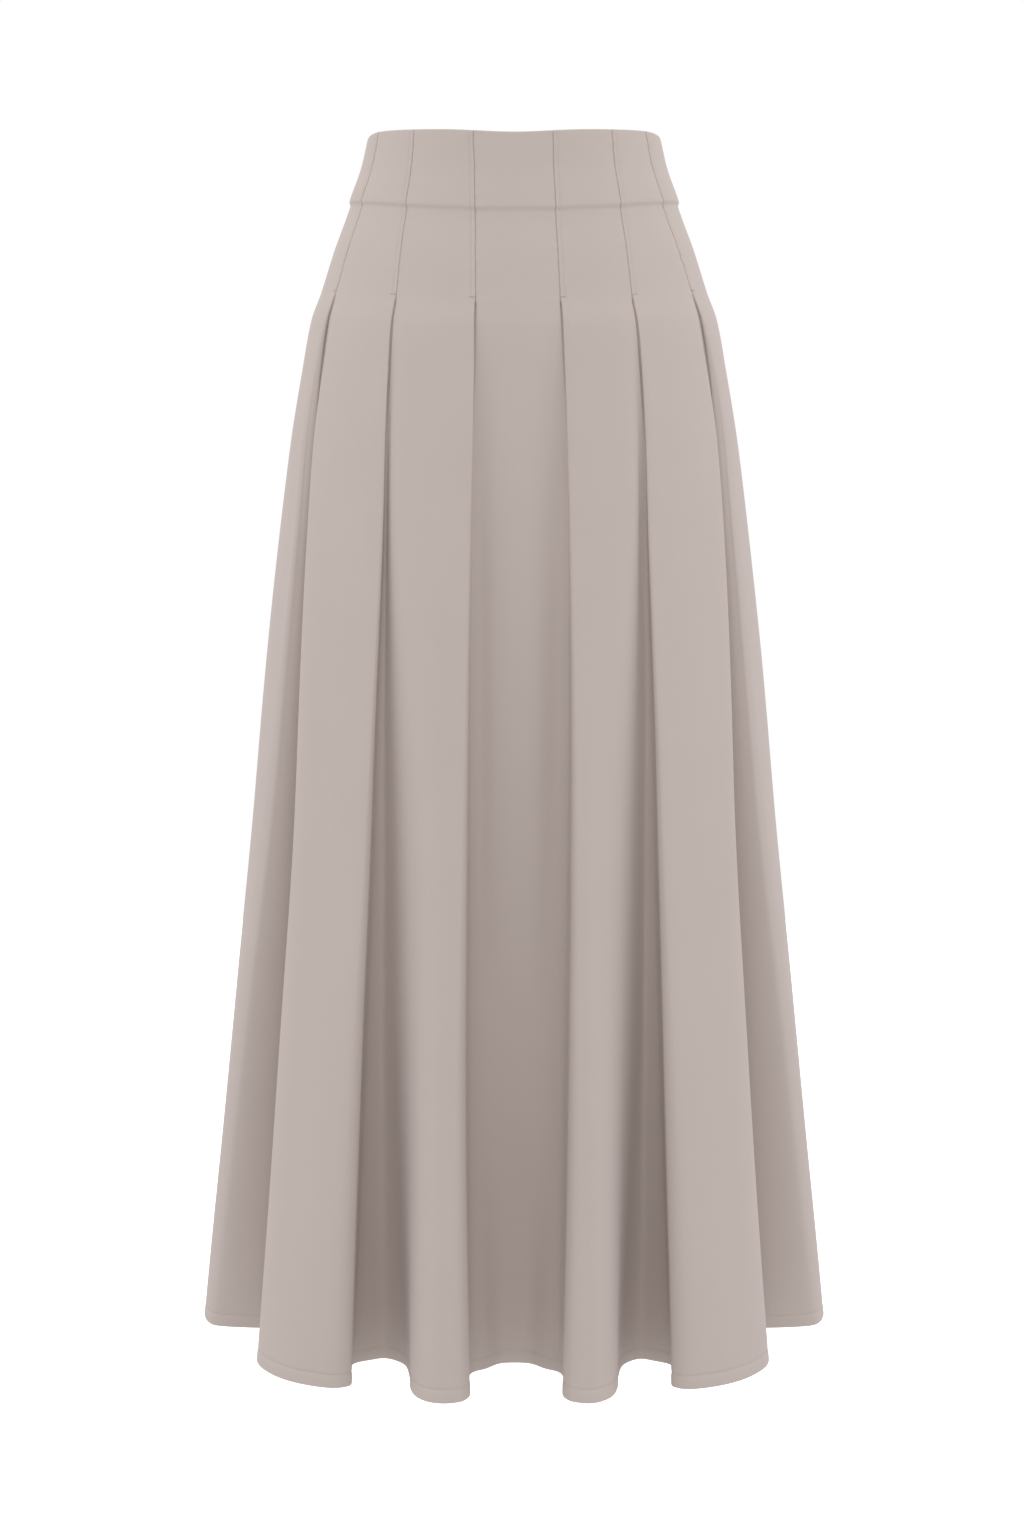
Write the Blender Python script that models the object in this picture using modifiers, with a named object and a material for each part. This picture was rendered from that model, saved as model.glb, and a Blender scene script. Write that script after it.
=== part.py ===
"""Pleated maxi skirt, worn form: thirteen gores of plain cloth and a concealed zip.

The origin is the centre of the waist opening, +Z is up and the wearer faces -Y, so +X is the
wearer's left. Every gore is a loft from waist to hem. Its plan section at each level is worked
out from an envelope ellipse, which the crests of the pleats touch, and from the pleat table:
stitched shut above the release level, each pleat opens below it into a fold that leans over its
neighbour, with a deep recess behind its edge. Neighbouring gores meet at the seam line above the
release, and at the hidden inner fold of the pleat below it.
"""
import math
from collections import namedtuple

import bmesh
import bpy
from mathutils import Matrix, Vector

# ---------------------------------------------------------------- driving dimensions (metres)
LENGTH = 0.9897            # waist to hem, down the side
RELEASE = 0.1287           # where the stitched pleats open, down the side
CLOTH = 0.0012             # wall of single cloth
DOUBLED = 0.0024           # wall where the cloth is turned: inner facing and hem
SEAM_GAP = 0.0003          # between neighbouring pieces
CENTRE_NICK = 0.0024       # extra dip of the waist edge at the centre front
CENTRE_NICK_SPREAD = 18.0  # degrees
DIP_POWER = 1.5            # how the dip of a level line dies out towards the sides

SNAP_REACH = 0.03          # share of the opened length in which a pleat springs open
OVERLAP_POWER = 2.5        # growth of the overlap, slow at first so that layers stay apart
SWELL_POWER = 3.0          # growth of the swell of a lobe
LEAST_ROLL = 0.0030        # added to the roll, because the wall has to turn round in it
PRESSED_REACH = 0.15       # share of the opened length over which the pressed edge relaxes
MOST_STRETCH = 1.25        # limit on how much a corner lengthens the wall's offset
CREASE_ANGLE = 50.0        # degrees; edges that turn more are shaded sharp

# A level line of the skirt. drop: below the waist at the side. half_width: of the envelope.
# front, back: half depths as a share of the half width. dips: how far the line hangs lower at
# the centre front and centre back. wall: cloth thickness there.
Level = namedtuple("Level", "drop half_width front back front_dip back_dip wall")
LEVELS = (
    Level(0.0000, 0.1206, 0.760, 0.780, 0.0110, 0.0050, DOUBLED),
    Level(0.0280, 0.1268, 0.765, 0.790, 0.0160, 0.0090, DOUBLED),
    Level(0.0535, 0.1360, 0.770, 0.800, 0.0200, 0.0120, DOUBLED),
    Level(0.0580, 0.1356, 0.771, 0.802, 0.0200, 0.0120, CLOTH),
    Level(0.0930, 0.1485, 0.780, 0.820, 0.0200, 0.0130, CLOTH),
    Level(RELEASE, 0.1600, 0.787, 0.830, 0.0200, 0.0140, CLOTH),
    Level(0.1500, 0.1679, 0.792, 0.832, 0.0198, 0.0140, CLOTH),
    Level(0.1900, 0.1755, 0.798, 0.834, 0.0192, 0.0135, CLOTH),
    Level(0.2500, 0.1856, 0.806, 0.836, 0.0182, 0.0130, CLOTH),
    Level(0.3400, 0.1969, 0.816, 0.838, 0.0165, 0.0115, CLOTH),
    Level(0.4500, 0.2087, 0.828, 0.842, 0.0140, 0.0100, CLOTH),
    Level(0.5700, 0.2199, 0.840, 0.848, 0.0110, 0.0080, CLOTH),
    Level(0.6900, 0.2325, 0.850, 0.854, 0.0080, 0.0055, CLOTH),
    Level(0.8100, 0.2450, 0.858, 0.860, 0.0048, 0.0035, CLOTH),
    Level(0.9000, 0.2546, 0.864, 0.865, 0.0024, 0.0018, CLOTH),
    Level(0.9790, 0.2632, 0.868, 0.868, 0.0003, 0.0002, CLOTH),
    Level(LENGTH, 0.2643, 0.869, 0.869, 0.0000, 0.0000, DOUBLED),
)

# Lines down the skirt, as angles in degrees out from the centre front (or centre back), read at
# eight drops. An edge line is the folded edge of a pleat.
Line = namedtuple("Line", "waist facing release upper hip middle lower hem")
LINE_DROPS = (0.0, 0.055, RELEASE, 0.20, 0.32, 0.52, 0.76, LENGTH)
EDGE_LINES = {
    ("right", 1): Line(14.7, 12.3, 10.1, 9.5, 9.4, 9.5, 8.9, 7.35),
    ("right", 2): Line(41.4, 37.6, 34.3, 33.4, 31.9, 31.4, 31.0, 30.3),
    ("right", 3): Line(65.5, 65.3, 62.8, 66.5, 63.8, 65.5, 73.5, 80.5),
    ("left", 1): Line(13.8, 12.9, 12.1, 12.4, 12.7, 12.5, 10.9, 8.85),
    ("left", 2): Line(39.7, 37.2, 34.2, 34.5, 33.1, 32.2, 31.2, 31.2),
    ("left", 3): Line(61.5, 62.2, 63.5, 67.6, 65.5, 66.5, 73.5, 80.5),
}

# The pleats of each quarter, counted out from its centre. Lengths are at the hem, in metres.
# overlap: how far the inner fold lies behind the edge (negative on an open fold). depth, power:
# of the recess, and how late it grows. snap: depth gained at once below the release. roll,
# roll_power: from the edge to the crest, and how late that grows. cup: share of the depth where
# the recess turns up behind the edge. swell: how far the lobe bulges.
Pleat = namedtuple("Pleat", "overlap depth power snap roll roll_power cup swell")
PLEATS = {
    1: Pleat(0.0082, 0.097, 1.25, 0.0025, 0.0080, 1.7, 0.74, 0.0024),
    2: Pleat(0.0300, 0.078, 1.45, 0.0025, 0.0110, 2.0, 0.84, 0.0034),
    3: Pleat(-0.0160, 0.074, 1.25, 0.0060, 0.0320, 2.0, 0.84, 0.0000),
}
LAST_PLEAT = 3

# Each quarter is the same cut, but hangs a little differently. swing: degrees that all but its
# last pleat are turned outwards at the hem. fullness: share of the pleat depth. breadth: shares
# of the reach of the second and third pleats' brows.
Quarter = namedtuple("Quarter", "side back swing fullness breadth")
QUARTERS = {
    ("left", "front"): Quarter("left", False, 0.0, 1.00, {2: 0.95, 3: 1.04}),
    ("right", "front"): Quarter("right", False, 0.0, 1.00, {2: 1.00, 3: 1.00}),
    ("left", "back"): Quarter("right", True, 1.6, 0.94, {2: 1.04, 3: 0.97}),
    ("right", "back"): Quarter("left", True, -0.8, 0.97, {2: 0.92, 3: 1.03}),
}
SIDE_SIGN = {"left": 1.0, "right": -1.0}

# Stations of the plan section on either side of an edge line. pressed: offset on the stitched
# part, outwards from the seam. opened: offset at the hem, in metres or as a share of the
# overlap or roll. depth: share of the recess depth.
Station = namedtuple("Station", "pressed opened depth")
UNDER_STATIONS = (                     # shares of the overlap, from inner fold to edge
    Station(0.0000, 1.00, None),
    Station(0.0008, 0.55, 0.42),
    Station(0.0016, 0.00, 0.175),
)
ROLL_STATIONS = (                      # shares of the roll, from edge to crest
    Station(0.0024, 0.15, 0.095),
    Station(0.0040, 0.46, 0.040),
    Station(0.0060, 1.00, 0.000),
)

# The brow is where the lobe inside a pleat falls away into its recess; the innermost pleat has
# none, because the recess there is the centre panel itself. offset: from the edge line at the
# eight drops, in metres. depth: share of the recess depth.
Brow = namedtuple("Brow", "offset depth")
BROWS = {
    2: (Brow(Line(-.016, -.016, -.016, -.0190, -.0290, -.0520, -.0680, -.0690), 0.00),
        Brow(Line(-.011, -.011, -.011, -.0125, -.0170, -.0390, -.0555, -.0580), 0.10),
        Brow(Line(-.008, -.008, -.008, -.0085, -.0100, -.0270, -.0430, -.0495), 0.30),
        Brow(Line(-.006, -.006, -.006, -.0050, -.0046, -.0150, -.0270, -.0400), 0.60),
        Brow(Line(-.004, -.004, -.004, -.0020, -.0003, -.0030, -.0060, -.0220), 0.88)),
    3: (Brow(Line(-.016, -.016, -.016, -.0190, -.0215, -.0460, -.0860, -.1290), 0.00),
        Brow(Line(-.011, -.011, -.011, -.0150, -.0168, -.0385, -.0710, -.1100), 0.08),
        Brow(Line(-.008, -.008, -.008, -.0138, -.0155, -.0340, -.0600, -.0940), 0.22),
        Brow(Line(-.006, -.006, -.006, -.0128, -.0142, -.0270, -.0480, -.0770), 0.62),
        Brow(Line(-.004, -.004, -.004, -.0110, -.0120, -.0170, -.0340, -.0580), 0.92)),
}
HEEL = Station(-0.0008, 0.75, None)
TUCK_RISE = 0.17                       # share of the depth between heel and inner fold
CENTRE_STATIONS = (0.0, 0.45, 0.85)    # shares of the way from centre to edge
# How much shallower the centre panel is at its edges than in its middle, as a share.
CENTRE_BOWL = Line(-0.15, -0.15, -0.15, -0.15, -0.15, -0.08, 0.05, 0.19)
FACE_STATIONS = (0.33, 0.67)           # on the flat face of a lobe, between its crests
SIDE_STATIONS = (0.33, 0.66)           # on the side panel, between its crest and 90 degrees

# Concealed zip at the centre back, in metres.
ZIP_TOP = 0.004            # below the waist edge
ZIP_END = 0.190
TAPE_HALF = 0.012
COIL_HALF = 0.0022
COIL_FLANK = 0.0004
TAPE_THICK = 0.0008
COIL_THICK = 0.0020
SLIDER_TOP = 0.007         # slider's top edge below the waist edge, along the cloth
SLIDER_SIZE = (0.0056, 0.0022, 0.0090)     # across, out from the cloth, along the cloth
SLIDER_BEVEL = 0.0007
BAIL_WIRE = 0.00050        # radius
BAIL_HALF = 0.0023         # half its length along the slider
BAIL_OUT = 0.0025          # its crown above the slider's face
BAIL_SINK = 0.0006         # how far its feet go into the slider
BAIL_STEPS = 12
PIN_OUT = 0.00105          # hinge axis above the slider's face
PIN_LOW = 0.0009           # hinge axis below the slider's middle, where the bar rests
PULL_WIDTH = 0.0056
PULL_LENGTH = 0.0240
PULL_THICK = 0.0009
PULL_EYE = (0.0026, 0.0042)                # hole across and along
PULL_BAR = 0.0009          # bar above the eye, which the bail holds
PULL_SHOULDER = 0.0010     # cut off the head's corners
PULL_TIP = 0.60            # width of the foot as a share of the head
PULL_TIP_STEPS = 8
PULL_LEAN = 2.5            # degrees that the pull leans in towards the cloth when it hangs

# Colour and roughness of each finish.
CREPE = ((0.520, 0.447, 0.418, 1.0), 0.85)
TAPE = ((0.465, 0.400, 0.372, 1.0), 0.80)
ENAMEL = ((0.440, 0.375, 0.350, 1.0), 0.45)


# ------------------------------------------------------------------------------ small helpers
def curve_through(xs, ys, x):
    """Value at x of the smooth curve through the points (xs, ys)."""
    last = len(xs) - 1
    if x <= xs[0]:
        return ys[0]
    if x >= xs[last]:
        return ys[last]
    i = max(k for k in range(last) if xs[k] <= x)

    def slope(k):
        low, high = max(k - 1, 0), min(k + 1, last)
        return (ys[high] - ys[low]) / (xs[high] - xs[low])

    span = xs[i + 1] - xs[i]
    u = (x - xs[i]) / span
    return ((2 * u ** 3 - 3 * u ** 2 + 1) * ys[i] + (u ** 3 - 2 * u ** 2 + u) * span * slope(i)
            + (3 * u ** 2 - 2 * u ** 3) * ys[i + 1] + (u ** 3 - u ** 2) * span * slope(i + 1))


def level_at(drop):
    """The level line at any drop, read from the table."""
    drops = [row.drop for row in LEVELS]
    fields = [curve_through(drops, [row[k] for row in LEVELS], drop)
              for k in range(1, len(Level._fields) - 1)]
    wall = next(row.wall for row in reversed(LEVELS) if row.drop <= drop)
    return Level(drop, *fields, wall)


def material(name, colour, roughness):
    """A plain Principled material."""
    mat = bpy.data.materials.new(name)
    mat.use_nodes = True
    shader = mat.node_tree.nodes["Principled BSDF"]
    shader.inputs["Base Color"].default_value = colour
    shader.inputs["Roughness"].default_value = roughness
    shader.inputs["Metallic"].default_value = 0.0
    mat.diffuse_color = colour
    return mat


def new_object(name, mesh, mat, collection):
    """Put a mesh in the scene under a name."""
    mesh.materials.append(mat)
    obj = bpy.data.objects.new(name, mesh)
    collection.objects.link(obj)
    return obj


# --------------------------------------------------------------------------- the plan section
class Section:
    """The closed plan section of the skirt at one level line."""

    def __init__(self, level):
        self.level = level
        self.opened = max(0.0, (level.drop - RELEASE) / (LENGTH - RELEASE))
        self.pressed = math.exp(-self.opened / PRESSED_REACH)

    def edge(self, quarter, rank):
        """Angle of an edge line here, with the quarter's own swing."""
        angle = curve_through(LINE_DROPS, EDGE_LINES[quarter.side, rank], self.level.drop)
        return angle + quarter.swing * self.opened * (rank < LAST_PLEAT)

    def half_depth(self, back):
        """Half depth of the envelope here, on its front or back half."""
        return self.level.half_width * (self.level.back if back else self.level.front)

    def degrees(self, length, angle, back):
        """Turn a length along the envelope, near an angle, into degrees."""
        t = math.radians(angle)
        speed = math.hypot(self.level.half_width * math.cos(t),
                           self.half_depth(back) * math.sin(t))
        return math.degrees(length / speed)

    def recess(self, pleat, quarter):
        """Depth of a pleat's recess here."""
        snap = pleat.snap * (1.0 - math.exp(-self.opened / SNAP_REACH))
        return quarter.fullness * (snap + pleat.depth * self.opened ** pleat.power)

    def fold(self, quarter, rank):
        """The stations of one pleat, as (angle, inset), on both sides of its inner fold.

        Returns the recess part, which belongs to the gore nearer the centre, and the lobe
        part, which belongs to the next gore. Both hold the inner fold.
        """
        pleat = PLEATS[rank]
        edge = self.edge(quarter, rank)
        depth = self.recess(pleat, quarter)
        overlap = pleat.overlap * self.opened ** OVERLAP_POWER
        roll = (LEAST_ROLL * (1.0 - self.pressed)
                + pleat.roll * self.opened ** pleat.roll_power)
        cup = 1.0 - (1.0 - pleat.cup) * self.opened

        def place(length, share):
            return edge + self.degrees(length, edge, quarter.back), share * depth

        def spread(station, width):
            return station.pressed * self.pressed + station.opened * width

        lobe = [place(spread(s, overlap), cup - TUCK_RISE if s.depth is None else s.depth)
                for s in UNDER_STATIONS]
        lobe += [place(spread(s, roll), s.depth) for s in ROLL_STATIONS]
        heel = place(spread(HEEL, overlap), cup)
        if rank == 1:
            bowl = curve_through(LINE_DROPS, CENTRE_BOWL, self.level.drop)
            recess = [(edge * share, depth * (1.0 - bowl * share ** 2))
                      for share in CENTRE_STATIONS]
        else:
            recess = [place(quarter.breadth[rank]
                            * curve_through(LINE_DROPS, brow.offset, self.level.drop), brow.depth)
                      for brow in BROWS[rank]]
            recess.append(((recess[-1][0] + heel[0]) / 2.0, depth))
        return recess + [heel, lobe[0]], lobe

    def quarter(self, key):
        """Stations of a quarter's centre, inner, outer and side gores, outwards in order."""
        quarter = QUARTERS[key]
        folds = {rank: self.fold(quarter, rank) for rank in PLEATS}
        gores = [folds[1][0]]
        for rank in (1, 2):
            lobe, recess = folds[rank][1], folds[rank + 1][0]
            swell = PLEATS[rank].swell * self.opened ** SWELL_POWER
            gores.append(lobe + self.face(lobe[-1], recess[0], FACE_STATIONS, swell) + recess)
        lobe = folds[3][1]
        side = (90.0, 0.0)
        gores.append(lobe + self.face(lobe[-1], side, SIDE_STATIONS, 0.0) + [side])
        return [[self.point(key, *station) for station in gore] for gore in gores]

    @staticmethod
    def face(start, end, shares, swell):
        """Stations between two crests, swelled outwards."""
        return [(start[0] + share * (end[0] - start[0]),
                 start[1] + share * (end[1] - start[1]) - swell) for share in shares]

    def point(self, key, angle, inset):
        """World place of a station."""
        side, back = SIDE_SIGN[key[0]], key[1] == "back"
        t = math.radians(angle)
        half_width, half_depth = self.level.half_width, self.half_depth(back)
        normal = Vector((math.sin(t) / half_width, math.cos(t) / half_depth)).normalized()
        x = half_width * math.sin(t) - inset * normal.x
        y = half_depth * math.cos(t) - inset * normal.y
        dip = self.level.back_dip if back else self.level.front_dip
        z = -self.level.drop - dip * max(math.cos(t), 0.0) ** DIP_POWER
        if not back:
            nick = math.exp(-(angle / CENTRE_NICK_SPREAD) ** 2)
            z -= CENTRE_NICK * nick * max(0.0, 1.0 - self.level.drop / LEVELS[1].drop)
        return Vector((side * x, y if back else -y, z))

    def runs(self):
        """Outer points of every gore by name, all anticlockwise from above."""
        lf, rf, lb, rb = (self.quarter(key) for key in
                          (("left", "front"), ("right", "front"),
                           ("left", "back"), ("right", "back")))
        return {
            "gore_front_centre": rf[0][::-1] + lf[0][1:],
            "gore_front_left_inner": lf[1],
            "gore_front_left_outer": lf[2],
            "gore_side_left": lf[3] + lb[3][::-1][1:],
            "gore_back_left_outer": lb[2][::-1],
            "gore_back_left_inner": lb[1][::-1],
            "gore_back_centre_left": lb[0][::-1],
            "gore_back_centre_right": rb[0],
            "gore_back_right_inner": rb[1],
            "gore_back_right_outer": rb[2],
            "gore_side_right": rb[3] + rf[3][::-1][1:],
            "gore_front_right_outer": rf[2][::-1],
            "gore_front_right_inner": rf[1][::-1],
        }

    def walls(self):
        """Outer and inner points of every gore, parted by the seam gap at both ends."""
        runs = self.runs()
        ring = [point for run in runs.values() for point in run[:-1]]
        tangents = [ring_tangent(ring, i) for i in range(len(ring))]
        walls, start = {}, 0
        for name, run in runs.items():
            outer, inner = [], []
            for i, point in enumerate(run):
                along, stretch = tangents[(start + i) % len(ring)]
                outward = Vector((along.y, -along.x, 0.0))
                trim = SEAM_GAP / 2.0 * ((i == 0) - (i == len(run) - 1))
                place = point + along * trim
                outer.append(place)
                inner.append(place - outward * self.level.wall * stretch)
            walls[name] = (outer, inner)
            start += len(run) - 1
        return walls


def ring_tangent(ring, i):
    """Unit tangent at a ring point, and how far a corner there stretches the wall."""
    before = (ring[i] - ring[i - 1]).xy.normalized()
    after = (ring[(i + 1) % len(ring)] - ring[i]).xy.normalized()
    along = (before + after).normalized()
    stretch = min(1.0 / max(along.dot(before), 0.1), MOST_STRETCH)
    return Vector((along.x, along.y, 0.0)), stretch


# ---------------------------------------------------------------------------------- the gores
def shell_mesh(name, outer, inner):
    """Close two grids of points, outer and inner, into one solid wall.

    Written out as faces because both sides of a seam must stay parallel, and the wall is
    thicker at the facing and the hem, which one thickness for the whole sheet can't give.
    """
    rows, cols = len(outer), len(outer[0])
    mesh = bmesh.new()
    grids = [[[mesh.verts.new(point) for point in row] for row in grid]
             for grid in (outer, inner)]
    out, inn = grids
    for r in range(rows - 1):
        for c in range(cols - 1):
            mesh.faces.new((out[r][c], out[r + 1][c], out[r + 1][c + 1], out[r][c + 1]))
            mesh.faces.new((inn[r][c], inn[r][c + 1], inn[r + 1][c + 1], inn[r + 1][c]))
        mesh.faces.new((out[r][0], inn[r][0], inn[r + 1][0], out[r + 1][0]))
        mesh.faces.new((out[r][-1], out[r + 1][-1], inn[r + 1][-1], inn[r][-1]))
    for c in range(cols - 1):
        mesh.faces.new((out[0][c], out[0][c + 1], inn[0][c + 1], inn[0][c]))
        mesh.faces.new((out[-1][c], inn[-1][c], inn[-1][c + 1], out[-1][c + 1]))
    data = bpy.data.meshes.new(name)
    mesh.to_mesh(data)
    mesh.free()
    data.shade_smooth()
    data.set_sharp_from_angle(angle=math.radians(CREASE_ANGLE))
    return data


def build_gores(mat, collection):
    """Loft every gore through the level lines."""
    sections = [Section(level).walls() for level in LEVELS]
    for name in sections[0]:
        outer = [section[name][0] for section in sections]
        inner = [section[name][1] for section in sections]
        new_object(name, shell_mesh(name, outer, inner), mat, collection)


# ------------------------------------------------------------------------------------ the zip
def centre_back(drop):
    """Outer point of the cloth at the centre back, and its wall, at any drop."""
    section = Section(level_at(drop))
    return section.runs()["gore_back_centre_right"][0], section.level.wall


def build_zip_chain(mat, collection):
    """Tape and closed coil, lying along the inside of the centre-back seam."""
    drops = [ZIP_TOP] + [row.drop for row in LEVELS if ZIP_TOP < row.drop < ZIP_END] + [ZIP_END]
    columns = ((-TAPE_HALF, TAPE_THICK), (-COIL_HALF - COIL_FLANK, TAPE_THICK),
               (-COIL_HALF, COIL_THICK), (COIL_HALF, COIL_THICK),
               (COIL_HALF + COIL_FLANK, TAPE_THICK), (TAPE_HALF, TAPE_THICK))
    outer, inner = [], []
    for drop in drops:
        centre, wall = centre_back(drop)
        level = level_at(drop)
        bow = level.back / (2.0 * level.half_width)
        near, far = [], []
        for across, thick in columns:
            y = centre.y - wall - SEAM_GAP - bow * across ** 2
            near.append(Vector((-across, y, centre.z)))
            far.append(Vector((-across, y - thick, centre.z)))
        outer.append(near)
        inner.append(far)
    new_object("zip_chain", shell_mesh("zip_chain", outer, inner), mat, collection)


def zip_frame():
    """Frame on the cloth at the slider's top: X across, Y out from the cloth, Z up along it."""
    top, _ = centre_back(SLIDER_TOP)
    low, _ = centre_back(SLIDER_TOP + PULL_LENGTH)
    up = (top - low).normalized()
    across = Vector((1.0, 0.0, 0.0))
    out = up.cross(across)
    frame = Matrix((across, out, up)).transposed().to_4x4()
    frame.translation = top + out * SEAM_GAP
    return frame


def tidy_mesh(obj, collection):
    """Turn an object with modifiers, or a curve, into a plain mesh object in world place."""
    bpy.context.view_layer.update()
    graph = bpy.context.evaluated_depsgraph_get()
    mesh = bpy.data.meshes.new_from_object(obj.evaluated_get(graph))
    work = bmesh.new()
    work.from_mesh(mesh)
    bmesh.ops.remove_doubles(work, verts=work.verts, dist=1e-6)
    work.to_mesh(mesh)
    work.free()
    plain = bpy.data.objects.new(obj.name + "_mesh", mesh)
    plain.matrix_world = obj.matrix_world.copy()
    collection.objects.link(plain)
    bpy.data.objects.remove(obj)
    return plain


def build_slider(frame, mat, collection, cutters):
    """Slider body with its bail, an arch of wire that holds the pull."""
    across, out, tall = SLIDER_SIZE
    bpy.ops.mesh.primitive_cube_add(size=1.0)
    body = bpy.context.active_object
    body.name = "zip_slider"
    body.data.transform(Matrix.Diagonal((across, out, tall, 1.0)))
    body.data.transform(Matrix.Translation((0.0, out / 2.0, -tall / 2.0)))
    bevel = body.modifiers.new("rounded", "BEVEL")
    bevel.width = SLIDER_BEVEL
    bevel.segments = 2

    arch = bpy.data.curves.new("bail", "CURVE")
    arch.dimensions = "3D"
    arch.bevel_depth = BAIL_WIRE
    arch.bevel_resolution = 2
    arch.use_fill_caps = True
    spline = arch.splines.new("POLY")
    spline.points.add(BAIL_STEPS)
    for k in range(BAIL_STEPS + 1):
        turn = math.pi * k / BAIL_STEPS
        rise = math.sin(turn) ** 0.5 if 0 < k < BAIL_STEPS else 0.0
        y = out - BAIL_SINK + (BAIL_OUT + BAIL_SINK) * rise
        spline.points[k].co = (0.0, y, -tall / 2.0 + BAIL_HALF * math.cos(turn), 1.0)
    wire = bpy.data.objects.new("bail", arch)
    collection.objects.link(wire)
    wire = tidy_mesh(wire, cutters)
    wire.hide_render = True
    wire.display_type = "WIRE"
    for obj in (body, wire):
        obj.matrix_world = frame
    join = body.modifiers.new("bail", "BOOLEAN")
    join.operation = "UNION"
    join.solver = "EXACT"
    join.object = wire
    for owner in body.users_collection:
        owner.objects.unlink(body)
    collection.objects.link(body)
    body.data.materials.append(mat)
    return body


def pull_outline():
    """Outline of the pull in its own plane: its bar at the origin, its foot below."""
    head, foot = PULL_WIDTH / 2.0, PULL_WIDTH * PULL_TIP / 2.0
    top, bottom = PULL_BAR / 2.0, PULL_BAR / 2.0 - PULL_LENGTH
    points = [(-head, top - PULL_SHOULDER), (-head + PULL_SHOULDER, top),
              (head - PULL_SHOULDER, top), (head, top - PULL_SHOULDER)]
    for k in range(PULL_TIP_STEPS + 1):
        turn = math.pi * k / PULL_TIP_STEPS
        points.append((foot * math.cos(turn), bottom + foot - foot * math.sin(turn)))
    return points


def build_pull(frame, mat, collection):
    """Pull tab: a tapered plate whose eye hangs on the bail, turning about the X axis."""
    flat = bpy.data.curves.new("pull", "CURVE")
    flat.dimensions = "2D"
    flat.fill_mode = "BOTH"
    flat.extrude = PULL_THICK / 2.0
    eye_half, eye_long = PULL_EYE[0] / 2.0, PULL_EYE[1]
    eye_top = -PULL_BAR / 2.0
    eye = [(-eye_half, eye_top), (eye_half, eye_top),
           (eye_half, eye_top - eye_long), (-eye_half, eye_top - eye_long)]
    for points in (pull_outline(), eye):
        spline = flat.splines.new("POLY")
        spline.points.add(len(points) - 1)
        spline.use_cyclic_u = True
        for k, (x, z) in enumerate(points):
            spline.points[k].co = (x, z, 0.0, 1.0)
    plate = bpy.data.objects.new("pull", flat)
    collection.objects.link(plate)
    plate = tidy_mesh(plate, collection)
    plate.name = "zip_pull"
    plate.data.transform(Matrix.Rotation(math.radians(90.0), 4, "X"))
    lean = Matrix.Rotation(math.radians(-PULL_LEAN), 4, "X")
    pivot = Vector((0.0, SLIDER_SIZE[1] + PIN_OUT, -SLIDER_SIZE[2] / 2.0 - PIN_LOW))
    plate.matrix_world = frame @ Matrix.Translation(pivot) @ lean
    plate.data.materials.append(mat)
    return plate


def main():
    """Clear the scene and build the skirt, piece by piece."""
    for obj in list(bpy.data.objects):
        bpy.data.objects.remove(obj)
    skirt = bpy.data.collections.new("pleated_maxi_skirt")
    cutters = bpy.data.collections.new("cutters")
    for collection in (skirt, cutters):
        bpy.context.scene.collection.children.link(collection)
    enamel = material("enamel", *ENAMEL)
    build_gores(material("crepe", *CREPE), skirt)
    build_zip_chain(material("zip_tape", *TAPE), skirt)
    frame = zip_frame()
    build_slider(frame, enamel, skirt, cutters)
    build_pull(frame, enamel, skirt)


main()
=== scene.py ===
"""Looks of the pleated maxi skirt: thirteen draped gores of matt crepe with their seams, facing
and hem, the stitches that hold them, and the concealed zip at the centre back.

Everything is in metres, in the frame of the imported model. The origin is the centre of the waist
opening, +Z is up and the wearer faces -Y, so +X is the wearer's left. The form of the cloth is
worked out from the same envelope and pleat table as the solids, read at many more levels, and
then gets its finer shape: lapped seams, the ledge of the facing, the turned hem, and creases.
"""
import logging
import math
from dataclasses import dataclass, field
from enum import Enum
from typing import Callable, NamedTuple, Optional, Sequence, Union

import bpy
import numpy as np
from mathutils import Matrix, Vector


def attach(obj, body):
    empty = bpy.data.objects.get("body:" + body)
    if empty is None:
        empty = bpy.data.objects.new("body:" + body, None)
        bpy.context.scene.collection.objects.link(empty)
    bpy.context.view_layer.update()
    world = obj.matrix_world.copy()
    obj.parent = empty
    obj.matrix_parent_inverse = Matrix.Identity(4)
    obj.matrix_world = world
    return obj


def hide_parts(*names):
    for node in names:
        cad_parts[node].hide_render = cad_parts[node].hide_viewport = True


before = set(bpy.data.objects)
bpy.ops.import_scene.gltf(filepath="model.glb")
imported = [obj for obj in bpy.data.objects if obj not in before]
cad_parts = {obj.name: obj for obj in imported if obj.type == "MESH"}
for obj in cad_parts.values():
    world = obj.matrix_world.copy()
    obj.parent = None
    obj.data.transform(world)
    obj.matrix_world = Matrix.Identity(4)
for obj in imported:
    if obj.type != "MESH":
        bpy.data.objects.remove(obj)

LOG = logging.getLogger("skirt")
WHITE = (1.0, 1.0, 1.0, 1.0)
LEAST_SPAN = 1e-5              # metres; closer stations count as this far apart
Tree = bpy.types.NodeTree
Socket = bpy.types.NodeSocket
Values = Union[float, np.ndarray]
Faces = list[tuple[int, ...]]
Colour = tuple[float, float, float, float]
Feeds = dict[Union[str, int], object]
Spot = tuple[float, float]         # a bearing in degrees and a depth inside the oval


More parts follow.
